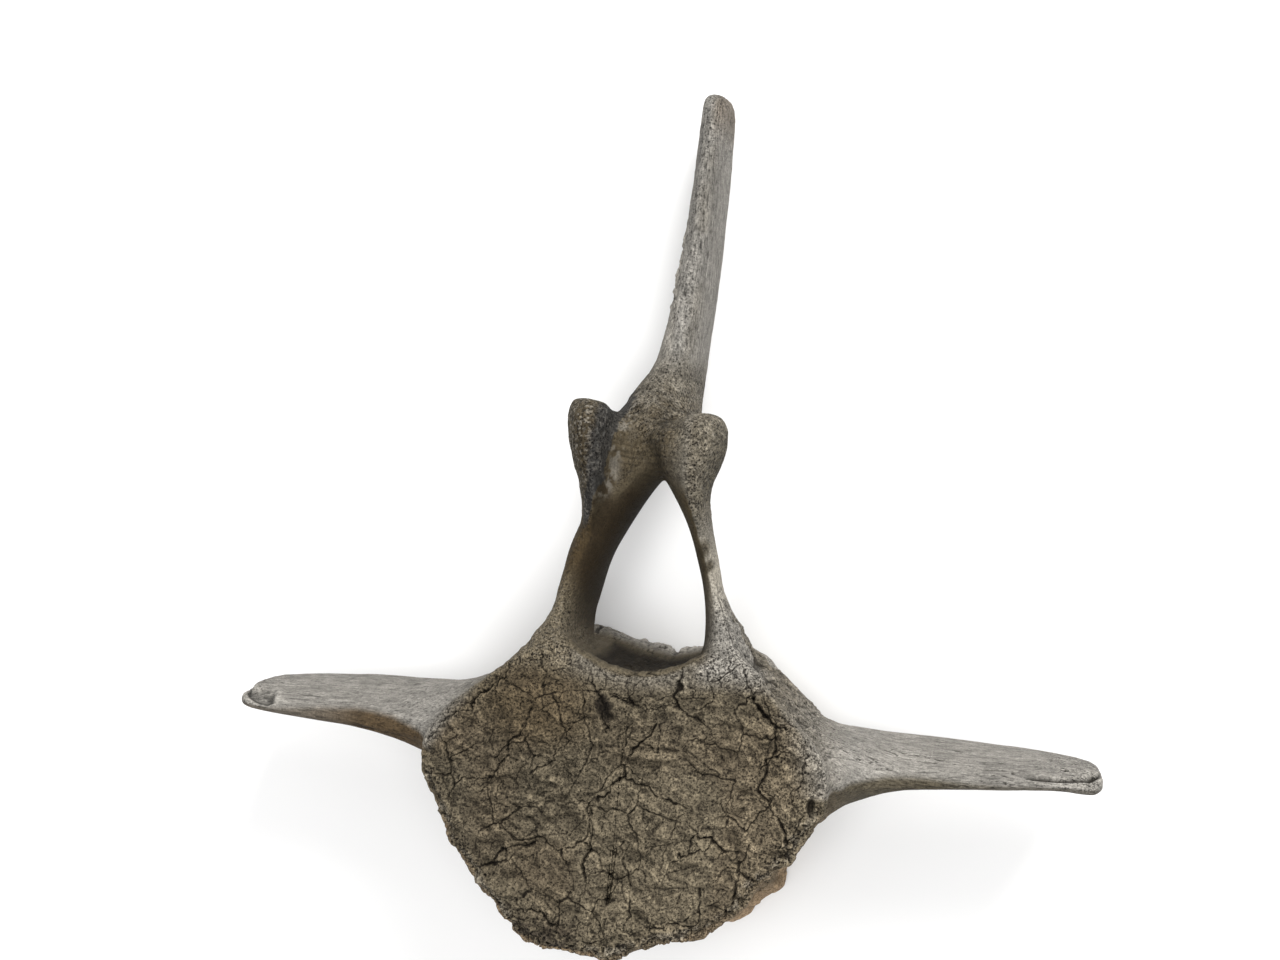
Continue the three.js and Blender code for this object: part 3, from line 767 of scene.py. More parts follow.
def tints(p, n, zones, cavity, hollow, loose, porous, colours):
    """Colour of each point in linear light, from the zone colours and what is worn, stained or deep, with
    painted shade in hollows, recesses and on undersides, and painted highlight on crowns, cushion tops and a
    lit band of the arch.
    """
    x, y, z = p.T
    patch = fractal(p, 34, 201, 3)
    fine = fractal(p, 5, 202, 3)
    face, grey, arch = (np.array(c) for c in (colours.face, colours.grey, colours.arch))
    dark, tan, pale, slate_and_shade = (np.array(c) for c in (colours.dark, colours.tan, colours.pale, colours.slate_and_shade))

    # front face: darker at the upper left, with painted shade between its cushions and painted highlight on
    # their tops, paler below, on the right and at the rim
    out = np.broadcast_to(face, p.shape).copy()
    shade = 0.8 + 0.36 * ramp(x - y * 0.8, -120, 90) + 0.08 * patch
    # painted shade and highlight: the cushions' tops lighter and the dips between them darker, by the cushion
    # height
    shade = shade * (1 + 0.05 * at(zones.face > 0.01, face_swell, p).clip(-3, 3))
    out = out * shade[:, None]
    out = mixed(out, tan * 0.4, zones.face * ramp(noise(p, 45, 203) + ramp(x, 30, 90) * 0.5, 0.1, 0.8) * 0.2)
    upper = zones.body * ramp(z, 150, 170) * np.exp(-(np.hypot((x + 70) / 42, (y - 62) / 30)) ** 4)
    out = mixed(out, face * (0.72, 0.64, 0.54), upper * 0.8)
    out = mixed(out, pale * 0.38, zones.face * ramp(loose, 0.3, 0.95) * ramp(fine, -0.3, 0.4) * 0.4)
    out = mixed(out, pale * 0.42, canal_lip(p) * zones.body * ramp(z, 150, 170) * 0.7)
    toe = zones.body * ramp(z, 150, 170) * fade(y, -96, -80) * within(x, -82, -68, -34, -22)
    out = mixed(out, dark * 1.4, toe * ramp(fine, -0.6, 0.0) * 0.85)
    patch_at = np.hypot((x + 23 + 0.2 * (y - 66)) / 6.5, (y - 65) / 11.5)
    out = mixed(out, dark * 0.6, zones.body * ramp(z, 150, 168)
                * np.exp(-np.abs(patch_at + 0.25 * noise(p, 4, 208)) ** 6) * 0.95)
    spot_at = np.hypot((x + 68) / 4, (y - 94) / 3)
    out = mixed(out, dark, zones.body * np.exp(-spot_at ** 4) * ramp(z, 165, 175) * 0.7)

    # body sides: tan underneath and at the rear rim, pale on the right shoulder
    side = zones.side
    out = mixed(out, face * 1.15, side)
    under = fade(n[:, 1], -0.7, -0.1)
    out = mixed(out, tan * 0.8, side * under * (0.5 + 0.5 * patch).clip(0, 1) * 0.8)
    out = mixed(out, tan * 1.25, zones.body * fade(z, 15, 45) * ramp(x, 20, 60) * fade(y, -50, -20) * 0.9)
    flank = np.maximum(zones.shoulder, side * ramp(x, 60, 110) * ramp(n[:, 1], 0, 0.6))
    out = mixed(out, grey * (0.46, 0.43, 0.38), flank * 0.85)
    rear_top = zones.body * fade(z, 15, 40) * ramp(y, 60, 85)
    out = mixed(out, grey * 1.1, rear_top * 0.85)

    # processes and spine, with painted shade on the processes' undersides
    bare = mixed(np.broadcast_to(grey, p.shape), grey * 0.86, ramp(patch, -0.2, 0.6))
    bare = bare * (1 + 0.1 * within(x, 96, 124, 180, 215))[:, None]
    # crest: the line below which each process is painted as in shade
    crest = np.where(
        x < 0,
        np.interp(x, (-300, -270, -240, -215, -185, -160, -146), (28, 31, 34.5, 36.5, 35, 29.5, 19)),
        np.interp(x, (138, 150, 175, 200, 235, 280, 330), (20, 29, 35, 36.5, 37, 39.5, 41)))
    shadowed = ramp(crest - y, -2.5, 3) * ramp(z, 60, 100)
    # painted shade: where a process faces away from its top (-Y) or lies below the crest, the grey turns dark
    # brown, partly the bone's own brown
    brown = np.maximum(fade(n[:, 1], -0.7, -0.35), shadowed) * (0.6 + 0.4 * fade(np.abs(x), 200, 262))
    under = np.where((x < 0)[:, None], tan * (0.25, 0.22, 0.15), tan * (0.29, 0.34, 0.36))
    out = mixed(out, mixed(bare, under, brown * 0.94), zones.process)
    spine = bare * (0.86 + 0.08 * fade(y, 330, 400))[:, None]
    streak = np.exp(-((x - 3) / 5) ** 2) * ramp(n[:, 2], -0.2, 0.5)
    spine = mixed(spine, grey * (0.58, 0.53, 0.44), streak * ramp(patch, -0.3, 0.3) * 0.3)
    spine = mixed(spine, pale, fade(x, -12, -7) * 0.35)
    spine = mixed(spine, tan * 0.45, ramp(y, 470, 500) * ramp(x, -2, 6) * 0.5)
    out = mixed(out, spine, zones.spine)

    # arch: brown front, grey right side with a painted lit band, dark inside the canal from dark stain and
    # painted shade, a painted shadow down the roof's groove, stained left knob with a slate band that is
    # partly painted shade
    roof = np.broadcast_to(arch, p.shape) * (1 + 0.12 * patch)[:, None]
    right = ramp(x - 0.1 * (y - 240), -2, 26)
    # painted light: a band of the right side from Y 125 to 200 painted a paler grey, as if lit; the grey
    # elsewhere is the bare bone's
    lit = within(y, 125, 150, 165, 200)
    roof = mixed(roof, grey * (0.58 + 0.8 * lit)[:, None], right * (1 - zones.canal) * 0.88)
    bare_spot = np.exp(-(np.hypot((x - 34) / 4, (y - 181) / 7)) ** 4) \
        + np.exp(-(np.hypot((x - 39) / 3, (y - 170) / 5)) ** 4)
    roof = mixed(roof, arch * 0.6, bare_spot * ramp(n[:, 2], 0, 0.4) * 0.9)
    outer = ramp(x - 27 - 0.25 * (y - 240), 0, 12) * within(y, 200, 222, 274, 288)
    roof = mixed(roof, grey * (0.2, 0.18, 0.135), outer * 0.85)
    roof = roof * (1 - (0.06, 0.1, 0.18) * (zones.right_knob * (1 - outer))[:, None])
    roof = mixed(roof, grey * 0.55, ramp(y + 10 * fine, 250, 312) * 0.85)
    roof = mixed(roof, grey * 0.55, fade(y, 105, 150) * (1 - zones.canal) * fade(x, -50, -20) * 0.7)
    roof = roof * (1 - (0.2, 0.3, 0.44) * (fade(x, -34, -18) * fade(y, 190, 215) * (1 - zones.foot))[:, None])
    # painted shade with dark stain: the canal's left inner wall darkened where the arch closes round it
    roof = mixed(roof, arch * (0.42, 0.38, 0.34), zones.canal * fade(x, -20, -5) * 0.9)
    roof = mixed(roof, arch * 0.6, np.exp(-((y - 226) / 14) ** 2) * fade(np.abs(x + 4), 8, 26) * 0.5)
    # painted shadow: a soft dark line down the groove of the roof, near X -1.5
    roof = roof * (1 - 0.42 * np.exp(-((x + 1.5) / 4.5) ** 2) * within(y, 225, 245, 272, 292))[:, None]
    striae = noise(moved(p, 14, 1.2, 411), (16, 1.7, 16), 207) \
        * fade(np.abs(x + 8), 24, 34) * ramp(y, 215, 240)
    roof = roof * (0.92, 0.89, 0.82) * (1 + 0.4 * striae * (1 - zones.knob))[:, None]
    roof = mixed(roof, face * (0.38, 0.36, 0.32), zones.left_knob * ramp(fine, -0.7, 0.2) * 0.88)
    # dark slate band on the left knob's side that faces the roof: partly the bone's slate colour, partly
    # painted shade in the recess
    levels = (190, 207, 225, 247, 271, 286)
    along = np.interp(y, levels, (-52, -49, -43.5, -43.5, -40, -38))
    width = np.interp(y, levels, (2.3, 4.2, 5.1, 5.6, 6.8, 7.5))
    across = (x - along) / width + 0.3 * noise(p, 6, 205) + 0.15 * noise(p, 2, 209)
    band = within(across, -1.5, -0.6, 0.92, 1.08) * ramp(y, 186, 196) * ramp(z, 95, 120)
    roof = mixed(roof, slate_and_shade * (1 + 0.5 * ramp(fine, 0.2, 0.7))[:, None], band * fade(y, 286, 296) * 0.95)
    rind = np.exp(-((x - along - width - 4) / 4) ** 2) * within(y, 205, 220, 275, 290)
    roof = mixed(roof, pale * 0.45, rind * ramp(fine, -0.2, 0.3) * 0.65)
    out = mixed(out, roof, zones.arch)
    out = mixed(out, mixed(np.broadcast_to(face * 1.35, p.shape), grey * 0.8, ramp(x, -20, 30)),
                zones.foot * (1 - zones.canal) * 0.75)
    # painted shade: the canal's floor under the arch painted nearly black
    floor = fade(np.abs(x + 3), 34, 48) * within(y, 74, 86, 112, 124) * within(z, 30, 55, 160, 174)
    out = mixed(out, arch * (0.12, 0.09, 0.05), floor * 0.92)

    stain = ramp(fractal(p, 12, 204, 2), 0.15, 0.55) * 0.25
    rough = np.clip(zones.face + zones.knob + 0.5 * porous, 0.25, 1)
    out = out * (1 + 0.32 * rough * fine)[:, None] * (1 - 0.6 * stain * (1 - zones.canal))[:, None]
    flecks = 0.16 + 0.3 * zones.left_knob * zones.arch * fade(x, -52, -47)
    out = mixed(out, pale * 0.6, porous * ramp(noise(p, 1.6, 206), 0.0, 0.5) * flecks)
    # painted shade and highlight: hollows of the relief darkened and its crowns lightened
    out = out * np.clip(1 - 0.85 * hollow, 0.25, 1.6)[:, None]
    out = mixed(out, dark * 0.6, np.clip(cavity * 1.1, 0, 1) * 0.93)
    return np.clip(out, 0.004, 0.9)


_whole = {}


def whole_bone():
    """The carved and coloured skin, made once and shared by every operator."""
    if "bone" in _whole:
        return _whole["bone"]
    shape, colours = bpy.context.scene.vertebra_shape, bpy.context.scene.vertebra_colours
    points, tris, middle = rough_block(shape)
    bone = Bone(points, tris)
    x, y, z = bone.points.T
    feet = within(y, 70, 84, 116, 140) * fade(np.abs(x + 4), 86, 104)
    roots = within(np.abs(x + 4), 112, 130, 160, 190) * fade(y, 80, 100) * fade(z, 150, 166)
    saddles = within(y, 195, 215, 285, 300) * within(np.abs(x + 8), 8, 20, 38, 50)
    bone.soften(np.clip(feet + 0.7 * roots + 0.6 * saddles, 0, 1) * ramp(z, 1, 6), shape.fillets)
    x, y, z = bone.points.T
    bone.refine((z > LENGTH - shape.fine_depth / MM) | ((y > 112) & (y < 300) & (z > 100)))
    n = bone.surface_normals()
    p = bone.points.copy()
    zones = Zones(p, n)
    h, cavity, loose, porous = relief(p, n, zones)
    bone.points = p + n * h[:, None]
    bone.points[:, 2] = np.maximum(bone.points[:, 2], 0)
    bone.normals = bone.surface_normals()
    # hollow: how far each point sinks below its neighbours, for painted shade in hollows and painted
    # highlight on crowns
    hollow = 0.42 * np.clip((bone.spread(h, 14) - h) / 0.9, -0.7, 1) \
        + 0.3 * np.clip((bone.spread(h, 3) - h) / 0.25, -0.8, 1)
    bone.tint = tints(p, n, zones, cavity, hollow, loose, porous, colours)
    along_x = (zones.process > 0.5)[:, None] * np.array([0.12, 1, 1])
    along_y = ((zones.spine > 0.5) | ((zones.arch > 0.5) & (zones.knob < 0.5)))[:, None] \
        * np.array([1, 0.12, 1])
    along_z = (zones.side > 0.5)[:, None] * np.array([1, 1, 0.15])
    even = np.ones((len(p), 3)) * ((along_x + along_y + along_z).sum(1) == 0)[:, None]
    bone.grain = p * MM * (along_x + along_y + along_z + even)
    x, y, z = p.T
    across, down = flank_axes(x, y)
    folded = np.stack([across, 0.14 * down, 0.5 * z], 1)
    bone.grain = np.where((zones.shoulder > 0.5)[:, None], folded * MM, bone.grain)
    bone.pores = np.clip(porous + 0.5 * loose + 0.15 + 0.5 * zones.face + 0.2 * zones.process, 0, 1)
    bone.streaks = np.clip(zones.process + zones.spine + 0.6 * zones.shoulder + 0.5 * zones.side
                           + 0.4 * zones.arch * (1 - zones.knob), 0, 1)
    centre = (Vector(CAD_BOX[0]) + Vector(CAD_BOX[1])) / 2
    shift = np.array(centre) - middle * MM
    shift[2] = max(shift[2], -bone.points[:, 2].min() * MM)
    bone.place = bone.points * MM + shift
    bone.base = p * MM + shift
    bone.shift = shift
    _whole["bone"] = bone
    return bone


# ---------------------------------------------------------------------------------------------
# Pieces of the skin
# ---------------------------------------------------------------------------------------------

def cut_between(low_node, high_node, axis):
    """Middle of the thin cut between two nodes of the frame along an axis."""
    return (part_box(low_node)[1][axis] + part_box(high_node)[0][axis]) / 2


def node_of_each(c):
    """Name of the frame's node that each point belongs to, by the cuts between the nodes."""
    x, y, z = c.T
    rear_cut = cut_between("epiphysis_rear", "centrum", 2)
    front_cut = cut_between("centrum", "epiphysis_front", 2)
    foot = cut_between("centrum", "pedicle_left", 1)
    spring = cut_between("pedicle_left", "arch_roof", 1)
    spine_foot = cut_between("arch_roof", "neural_spine", 1)
    middle = cut_between("pedicle_left", "pedicle_right", 0)
    return np.select(
        [
            y > spine_foot,
            (y > spring) & (x < cut_between("metapophysis_left", "arch_roof", 0)),
            (y > spring) & (x > cut_between("arch_roof", "metapophysis_right", 0)),
            y > spring,
            (y > foot) & (x < middle),
            y > foot,
            z > front_cut,
            z < rear_cut,
            x < cut_between("transverse_process_left", "centrum", 0),
            x > cut_between("centrum", "transverse_process_right", 0),
        ],
        [
            "neural_spine", "metapophysis_left", "metapophysis_right", "arch_roof", "pedicle_left",
            "pedicle_right", "epiphysis_front", "epiphysis_rear", "transverse_process_left",
            "transverse_process_right",
        ],
        "centrum",
    )


def border_loops(tris, beyond):
    """Closed loops of the edges that only one triangle has, each in the order of its triangles, with
    the name of what lies beyond each edge."""
    edges = np.concatenate([tris[:, [0, 1]], tris[:, [1, 2]], tris[:, [2, 0]]])
    size = int(tris.max()) + 1
    one_way = edges[:, 0] * size + edges[:, 1]
    border = edges[~np.isin(one_way, edges[:, 1] * size + edges[:, 0])]
    after = {}
    for (a, b), name in zip(border.tolist(), beyond(border)):
        after.setdefault(a, []).append((b, name))
    loops = []
    while after:
        here = next(iter(after))
        loop, names = [], []
        while here in after:
            loop.append(here)
            step, name = after[here].pop()
            names.append(name)
            if not after[here]:
                del after[here]
            here = step
        loops.append((loop, names))
    return loops


def flat_parts(loop, names):
    """A loop that has two neighbours beyond it, parted by a chord into one flat loop for each."""
    turns = [k for k in range(len(loop)) if names[k] != names[k - 1]]
    if len(turns) != 2:
        return [loop]
    a, b = turns
    return [loop[a:b + 1], loop[b:] + loop[:a + 1]]


def caps(points, tris, beyond):
    """Triangles that close each border loop inside the bone, facing out of the piece."""
    out = []
    for whole_loop, names in border_loops(tris, beyond):
        for loop in flat_parts(whole_loop, names):
            ring = points[loop]
            flat = np.array(tessellate_polygon([[Vector(v) for v in ring]]))
            if not len(flat):
                continue
            a, b, c = ring[flat].transpose(1, 0, 2)
            way = np.cross(ring, np.roll(ring, -1, 0)).sum(0)
            turned = np.einsum("ij,j->i", np.cross(b - a, c - a), way) > 0
            flat[turned] = flat[turned][:, ::-1]
            out.append(np.array(loop)[flat])
    return np.concatenate(out) if out else np.zeros((0, 3), int)


def neighbour_names(used):
    """A function that names the node beyond each directed edge of a piece whose points are used."""
    bone = whole_bone()
    size = len(bone.points)
    if "edge_keys" not in _whole:
        t = bone.tris
        keys = np.concatenate([t[:, 0] * size + t[:, 1], t[:, 1] * size + t[:, 2], t[:, 2] * size + t[:, 0]])
        order = np.argsort(keys)
        _whole["edge_keys"], _whole["edge_tris"] = keys[order], order % len(t)

    def beyond(edges):
        back = used[edges[:, 1]] * size + used[edges[:, 0]]
        found = np.searchsorted(_whole["edge_keys"], back)
        return _whole["labels"][_whole["edge_tris"][found]].tolist()

    return beyond


def bone_piece(name, chosen, nodes, material):
    """One closed object from the chosen triangles of the skin, with the skin's own normals."""
    bone = whole_bone()
    used, tris = np.unique(bone.tris[chosen], return_inverse=True)
    tris = tris.reshape(-1, 3)
    points = bone.place[used]
    tris = np.concatenate([tris, caps(points, tris, neighbour_names(used))]).astype(np.int32)
    mesh = bpy.data.meshes.new(name)
    mesh.vertices.add(len(points))
    mesh.vertices.foreach_set("co", points.astype(np.float32).ravel())
    mesh.loops.add(len(tris) * 3)
    mesh.loops.foreach_set("vertex_index", tris.ravel())
    mesh.polygons.add(len(tris))
    mesh.polygons.foreach_set("loop_start", np.arange(len(tris), dtype=np.int32) * 3)
    tint = np.concatenate([bone.tint[used], np.ones((len(used), 1))], 1)
    for kind, field, values in (
            ("FLOAT_COLOR", "tint", tint), ("FLOAT_VECTOR", "grain", bone.grain[used]),
            ("FLOAT", "pores", bone.pores[used]), ("FLOAT", "streaks", bone.streaks[used])):
        data = mesh.attributes.new(field, kind, "POINT").data
        key = {"FLOAT_COLOR": "color", "FLOAT_VECTOR": "vector", "FLOAT": "value"}[kind]
        data.foreach_set(key, np.ascontiguousarray(values, np.float32).ravel())
    mesh.update(calc_edges=True)
    mesh.validate()
    mesh.normals_split_custom_set_from_vertices(bone.normals[used].tolist())
    mesh.materials.append(material)
    piece = bpy.data.objects.new(name, mesh)
    bpy.context.scene.collection.objects.link(piece)
    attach(piece, "root")
    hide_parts(*nodes)
    return piece


def node_piece(node, material, part=None, suffix=""):
    """The skin of one node of the frame, or the part of it where a test of the middles holds."""
    bone = whole_bone()
    if "labels" not in _whole:
        _whole["middles"] = bone.base[bone.tris].mean(1)
        _whole["labels"] = node_of_each(_whole["middles"])
    chosen = _whole["labels"] == node
    if part is not None:
        chosen &= part(_whole["middles"])
    if not chosen.any():
        raise RuntimeError(f"no skin lies on {node}")
    return bone_piece(node + "_skin" + suffix, chosen, [node], material)


# ---------------------------------------------------------------------------------------------
# Materials
# ---------------------------------------------------------------------------------------------

FINISHES = {
    "cracked_bone": dict(stipple=0.43, streak=0.25, bump=0.0022, roughness=0.88),
    "brown_bone": dict(stipple=0.26, streak=0.34, bump=0.0014, roughness=0.88),
    "arch_bone": dict(stipple=0.32, streak=0.26, bump=0.0013, roughness=0.84),
    "grey_bone": dict(stipple=0.20, streak=0.40, bump=0.0012, roughness=0.82),
}


class Graph:
    """Short calls that add linked nodes to a material."""

    def __init__(self, name):
        self.material = bpy.data.materials.new(name)
        self.material.use_nodes = True
        self.nodes = self.material.node_tree.nodes
        self.links = self.material.node_tree.links
        self.shader = self.nodes["Principled BSDF"]

    def add(self, kind, settings=None, **inputs):
        node = self.nodes.new(kind)
        for key, value in (settings or {}).items():
            setattr(node, key, value)
        for key, value in inputs.items():
            socket = node.inputs[int(key[1:]) if key[1:].isdigit() else key.replace("_", " ")]
            if isinstance(value, bpy.types.NodeSocket):
                self.links.new(value, socket)
            else:
                socket.default_value = value
        return node

    def math(self, operation, a, b=0.0, clamp=False):
        return self.add("ShaderNodeMath", dict(operation=operation, use_clamp=clamp), i0=a, i1=b).outputs[0]

    def noise(self, vector, scale, detail=3.0, roughness=0.6):
        return self.add("ShaderNodeTexNoise", dict(), Vector=vector, Scale=scale, Detail=detail,
                        Roughness=roughness).outputs["Fac"]

    def spread(self, value, low, high, to_low, to_high):
        return self.add("ShaderNodeMapRange", dict(clamp=True), Value=value, From_Min=low, From_Max=high,
                        To_Min=to_low, To_Max=to_high).outputs[0]

    def attribute(self, name, output="Fac"):
        return self.add("ShaderNodeAttribute", dict(attribute_name=name)).outputs[output]


def weathered_bone(name, stipple, streak, bump, roughness):
    """Dry bone: the point colour, broken up by fine stipple, lengthwise streaks and dashes and dark
    pores, with the same in the bump. stipple and streak are contrasts, bump is a height in metres."""
    g = Graph(name)
    place = g.add("ShaderNodeTexCoord").outputs["Object"]
    grain_at = g.attribute("grain", "Vector")
    pores_at, streaks_at = g.attribute("pores"), g.attribute("streaks")
    speck = g.noise(place, 680, 3, 0.75)
    grit = g.noise(place, 380, 4, 0.7)
    line = g.noise(grain_at, 800, 4, 0.7)
    dash = g.spread(g.noise(grain_at, 850, 1, 0.5), 0.6, 0.68, 0.0, 1.0)
    pits = []
    for scale, kept in ((640.0, 0.4), (360.0, 0.62)):
        cell = g.add("ShaderNodeTexVoronoi", dict(feature="F1"), Vector=place, Scale=scale, Randomness=1.0)
        near = g.spread(cell.outputs["Distance"], 0.16, 0.42, 1.0, 0.0)
        chance = g.add("ShaderNodeSeparateColor", dict(), Color=cell.outputs["Color"]).outputs[0]
        pits.append(g.math("MULTIPLY", near, g.math("GREATER_THAN", chance, kept)))
    open_pit = g.math("MULTIPLY", g.math("MAXIMUM", pits[0], pits[1]), pores_at)
    dashes = g.math("MULTIPLY", dash, streaks_at)

    contrast = g.math("MULTIPLY", g.math("ADD", g.math("MULTIPLY", pores_at, 1.7), 0.4), stipple)
    light = g.math("MULTIPLY", g.spread(speck, 0.3, 0.7, -1.2, 1.5), contrast)
    light = g.math("ADD", light, g.math("MULTIPLY", g.spread(grit, 0.3, 0.7, -0.8, 1.0), contrast))
    light = g.math("MAXIMUM", g.math("ADD", light, 1.0), 0.15)
    lined = g.spread(line, 0.32, 0.68, 1 - streak, 1 + streak * 0.7)
    lined = g.add("ShaderNodeMix", dict(data_type="FLOAT"), i0=streaks_at, i2=1.0, i3=lined).outputs[0]
    light = g.math("MULTIPLY", light, lined)
    light = g.math("MULTIPLY", light, g.math("SUBTRACT", 1.0, g.math("MULTIPLY", open_pit, 0.82)))
    light = g.math("MULTIPLY", light, g.math("SUBTRACT", 1.0, g.math("MULTIPLY", dashes, 0.42)))
    colour = g.add("ShaderNodeVectorMath", dict(operation="SCALE"), Vector=g.attribute("tint", "Color"),
                   Scale=light).outputs[0]
    g.links.new(colour, g.shader.inputs["Base Color"])

    height = g.math("ADD", g.math("MULTIPLY", speck, 0.5), g.math("MULTIPLY", grit, 0.8))
    height = g.math("ADD", height, g.math("MULTIPLY", g.math("MULTIPLY", line, streaks_at), 0.7))
    height = g.math("SUBTRACT", height, g.math("MULTIPLY", open_pit, 0.8))
    height = g.math("SUBTRACT", height, g.math("MULTIPLY", dashes, 0.5))
    relief_node = g.add("ShaderNodeBump", dict(), Strength=0.8, Distance=bump, Height=height)
    g.links.new(relief_node.outputs[0], g.shader.inputs["Normal"])
    g.links.new(g.spread(grit, 0.3, 0.7, roughness - 0.1, roughness + 0.06), g.shader.inputs["Roughness"])
    g.shader.inputs["Specular IOR Level"].default_value = 0.12
    return g.material


def floor_finish(colour):
    """Matt pale floor with a very slight unevenness of tone."""
    g = Graph("pale_floor")
    place = g.add("ShaderNodeTexCoord").outputs["Object"]
    tone = g.spread(g.noise(place, 3.0, 2), 0.3, 0.7, 0.99, 1.0)
    shade = g.add("ShaderNodeVectorMath", dict(operation="SCALE"), i0=tuple(colour), Scale=tone).outputs[0]
    g.links.new(shade, g.shader.inputs["Base Color"])
    g.shader.inputs["Roughness"].default_value = 0.9
    g.shader.inputs["Specular IOR Level"].default_value = 0.1
    return g.material


# ---------------------------------------------------------------------------------------------
# Settings, operators and panel
# ---------------------------------------------------------------------------------------------

def tone(name, text, value):
    return FloatVectorProperty(name=name, description=text, default=value, size=3, min=0, max=1,
                               subtype="COLOR")


class VertebraShape(bpy.types.PropertyGroup):
    voxel: FloatProperty(name="Fusing step", description="Size of the grid that fuses the surfaces",
                         default=0.00275, min=0.0015, max=0.01, subtype="DISTANCE", unit="LENGTH")
    softening: IntProperty(name="Softening", description="Rounds of smoothing where surfaces meet",
                           default=14, min=0, max=60)
    fillets: IntProperty(name="Fillets",
                         description="Rounds of smoothing at the feet of the arch and processes",
                         default=60, min=0, max=300)
    fine_depth: FloatProperty(name="Fine depth",
                              description="Depth below the front face with the finest mesh",
                              default=0.018, min=0, max=0.05, subtype="DISTANCE", unit="LENGTH")


class VertebraColours(bpy.types.PropertyGroup):
    face: tone("Face", "Brown grey of the end faces", (0.099, 0.082, 0.0555))
    grey: tone("Bare bone", "Light grey of the processes and the spine", (0.262, 0.248, 0.224))
    arch: tone("Arch", "Brown of the neural arch", (0.070, 0.057, 0.038))
    pale: tone("Pale bone", "Worn, powdery edges", (0.36, 0.33, 0.28))
    # tan, darkened, also stands in for painted shade on the processes' undersides
    tan: tone("Tan", "Sheltered bone that kept its colour", (0.27, 0.19, 0.115))
    dark: tone("Dark", "Cracks, pores and black stains", (0.018, 0.014, 0.010))
    # this colour also stands in for painted shade in the recess between the left knob and the roof
    slate_and_shade: tone("Slate", "Blue grey band on the left knob", (0.027, 0.026, 0.0245))


class VertebraStage(bpy.types.PropertyGroup):
    lens: FloatProperty(name="Lens", description="Focal length", default=56.25, min=10, max=200,
                        unit="CAMERA")
    distance: FloatProperty(name="Distance", description="From the camera to the front face along the view",
                            default=1.389, min=0.3, max=10, subtype="DISTANCE", unit="LENGTH")
    azimuth: FloatProperty(name="Azimuth", description="Turn of the view to the bone's right side",
                           default=math.radians(9), subtype="ANGLE", unit="ROTATION")
    pitch: FloatProperty(name="Pitch", description="Tilt of the view to the bone's back",
                         default=math.radians(1.5), subtype="ANGLE", unit="ROTATION")
    roll: FloatProperty(name="Roll", description="Turn of the picture", default=math.radians(5.5),
                        subtype="ANGLE", unit="ROTATION")
    face_right: FloatProperty(name="Face to the right", description="Place of the front face's middle in the "
                              "picture, as a slope from its centre", default=-0.0065, min=-1, max=1)
    face_down: FloatProperty(name="Face down", description="Place of the front face's middle in the picture, "
                             "as a slope from its centre", default=0.1625, min=-1, max=1)
    floor: tone("Floor", "Colour of the floor", (0.93, 0.93, 0.93))
    key_power: FloatProperty(name="Key light", description="Power of the large soft light", default=22.0,
                             min=0, max=500, unit="POWER")
    sky: FloatProperty(name="Surrounding light", description="Strength of the even light from all round",
                       default=0.62, min=0, max=5)


class VERTEBRA_OT_body(bpy.types.Operator):
    """Body of the vertebra: the cracked front face in two halves, the waist and the rear face"""
    bl_idname = "vertebra.body"
    bl_label = "Body"

    def execute(self, context):
        cracked = weathered_bone("cracked_bone", **FINISHES["cracked_bone"])
        brown = weathered_bone("brown_bone", **FINISHES["brown_bone"])
        low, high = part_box("epiphysis_front")
        middle = (low.x + high.x) / 2
        node_piece("epiphysis_front", cracked, lambda c: c[:, 0] < middle, "_left")
        node_piece("epiphysis_front", cracked, lambda c: c[:, 0] >= middle, "_right")
        node_piece("centrum", brown)
        node_piece("epiphysis_rear", brown)
        return {"FINISHED"}


class VERTEBRA_OT_arch(bpy.types.Operator):
    """Neural arch: two pedicles, the roof and the two metapophyses"""
    bl_idname = "vertebra.arch"
    bl_label = "Neural arch"

    def execute(self, context):
        finish = weathered_bone("arch_bone", **FINISHES["arch_bone"])
        for node in ("pedicle_left", "pedicle_right", "arch_roof", "metapophysis_left", "metapophysis_right"):
            node_piece(node, finish)
        return {"FINISHED"}


class VERTEBRA_OT_blades(bpy.types.Operator):
    """Neural spine and the two transverse processes"""
    bl_idname = "vertebra.blades"
    bl_label = "Spine and processes"

    def execute(self, context):
        finish = weathered_bone("grey_bone", **FINISHES["grey_bone"])
        for node in ("neural_spine", "transverse_process_left", "transverse_process_right"):
            node_piece(node, finish)
        return {"FINISHED"}


def face_centre():
    """Middle of the front face, where the stations have X and Y of 0."""
    return Vector(whole_bone().shift) + Vector((0, 0, LENGTH * MM))


def add_camera(stage):
    """Camera that looks down on the front face: turned, tilted and rolled round it, then moved so
    that the face's middle falls at its place in the picture."""
    turn = (Matrix.Rotation(stage.azimuth, 3, "Y") @ Matrix.Rotation(-stage.pitch, 3, "X")
            @ Matrix.Rotation(stage.roll, 3, "Z"))
    data = bpy.data.cameras.new("camera")
    data.lens = stage.lens
    data.sensor_width = 36
    data.clip_end = 50
    camera = bpy.data.objects.new("camera", data)
    seen = Vector((stage.face_right, -stage.face_down, -1)) * stage.distance
    camera.matrix_world = Matrix.Translation(face_centre() - turn @ seen) @ turn.to_4x4()
    bpy.context.scene.collection.objects.link(camera)
    bpy.context.scene.camera = camera


KEY_SHARE = 3.2         # power of each light, as a multiple of the setting
OVERHEAD_SHARE = 2.6
FLOOR_HALF = 12.0       # metres
FLOOR_STEPS = 4


def add_area(name, place, aim, size, power, colour):
    """Square soft light at a place, facing its aim."""
    data = bpy.data.lights.new(name, "AREA")
    data.size = size
    data.energy = power
    data.color = colour
    light = bpy.data.objects.new(name, data)
    light.location = place
    light.rotation_euler = (Vector(aim) - Vector(place)).to_track_quat("-Z", "Y").to_euler()
    bpy.context.scene.collection.objects.link(light)


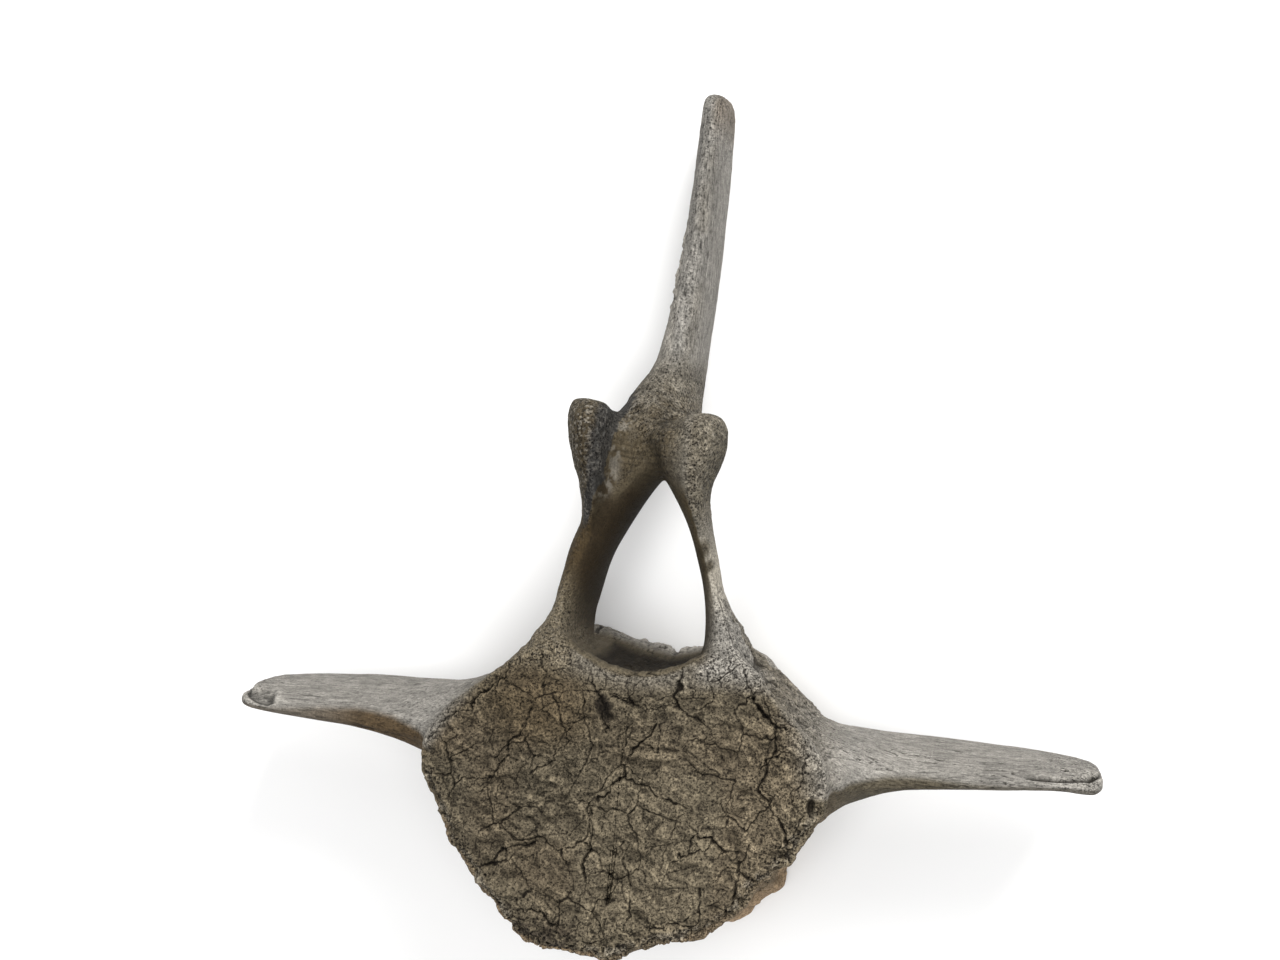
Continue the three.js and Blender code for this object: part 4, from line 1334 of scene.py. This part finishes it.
class VERTEBRA_OT_stage(bpy.types.Operator):
    """Floor, soft light and camera"""
    bl_idname = "vertebra.stage"
    bl_label = "Stage"

    def execute(self, context):
        stage = context.scene.vertebra_stage
        row = FLOOR_STEPS + 1
        steps = np.linspace(-FLOOR_HALF, FLOOR_HALF, row)
        gx, gy = np.meshgrid(steps, steps)
        points = np.stack([gx, gy, 0 * gx], 2).reshape(-1, 3)
        k = np.arange(FLOOR_STEPS)
        first = (k[:, None] * row + k[None]).ravel()
        quads = np.stack([first, first + 1, first + row + 1, first + row], 1)
        mesh = bpy.data.meshes.new("floor")
        mesh.from_pydata(points.tolist(), [], quads.tolist())
        mesh.materials.append(floor_finish(stage.floor))
        floor = bpy.data.objects.new("floor", mesh)
        context.scene.collection.objects.link(floor)
        add_camera(stage)
        add_area("key", (0.9, 2.2, 1.9), (0, 0, 0.1), 1.4, stage.key_power * KEY_SHARE, (1, 0.99, 0.97))
        add_area("overhead", (0.25, -0.1, 3.2), (0, 0, 0), 1.6, stage.key_power * OVERHEAD_SHARE, (1, 1, 1))
        world = bpy.data.worlds.new("surround")
        world.use_nodes = True
        world.node_tree.nodes["Background"].inputs["Color"].default_value = (1, 1, 1, 1)
        world.node_tree.nodes["Background"].inputs["Strength"].default_value = stage.sky
        context.scene.world = world
        context.scene.view_settings.view_transform = "Standard"
        return {"FINISHED"}


class VERTEBRA_PT_panel(bpy.types.Panel):
    """Lists the operators and the settings they read"""
    bl_idname = "VERTEBRA_PT_panel"
    bl_label = "Whale vertebra"
    bl_space_type = "VIEW_3D"
    bl_region_type = "UI"
    bl_category = "Vertebra"

    def draw(self, context):
        for operator in OPERATORS:
            self.layout.operator(operator.bl_idname)
        for group in SETTINGS:
            box = self.layout.box()
            box.label(text=group)
            settings = getattr(context.scene, group)
            for key in settings.__annotations__:
                box.prop(settings, key)


SETTINGS = {
    "vertebra_shape": VertebraShape,
    "vertebra_colours": VertebraColours,
    "vertebra_stage": VertebraStage,
}
OPERATORS = (VERTEBRA_OT_body, VERTEBRA_OT_arch, VERTEBRA_OT_blades, VERTEBRA_OT_stage)


def register():
    for group in SETTINGS.values():
        bpy.utils.register_class(group)
    for name, group in SETTINGS.items():
        setattr(bpy.types.Scene, name, PointerProperty(type=group))
    for cls in OPERATORS + (VERTEBRA_PT_panel,):
        bpy.utils.register_class(cls)


def unregister():
    for cls in reversed(OPERATORS + (VERTEBRA_PT_panel,)):
        bpy.utils.unregister_class(cls)
    for name in SETTINGS:
        delattr(bpy.types.Scene, name)
    for group in SETTINGS.values():
        bpy.utils.unregister_class(group)


def main():
    """Makes the pieces and the stage in order."""
    register()
    bpy.ops.vertebra.body()
    bpy.ops.vertebra.arch()
    bpy.ops.vertebra.blades()
    bpy.ops.vertebra.stage()


if __name__ == "__main__":
    main()
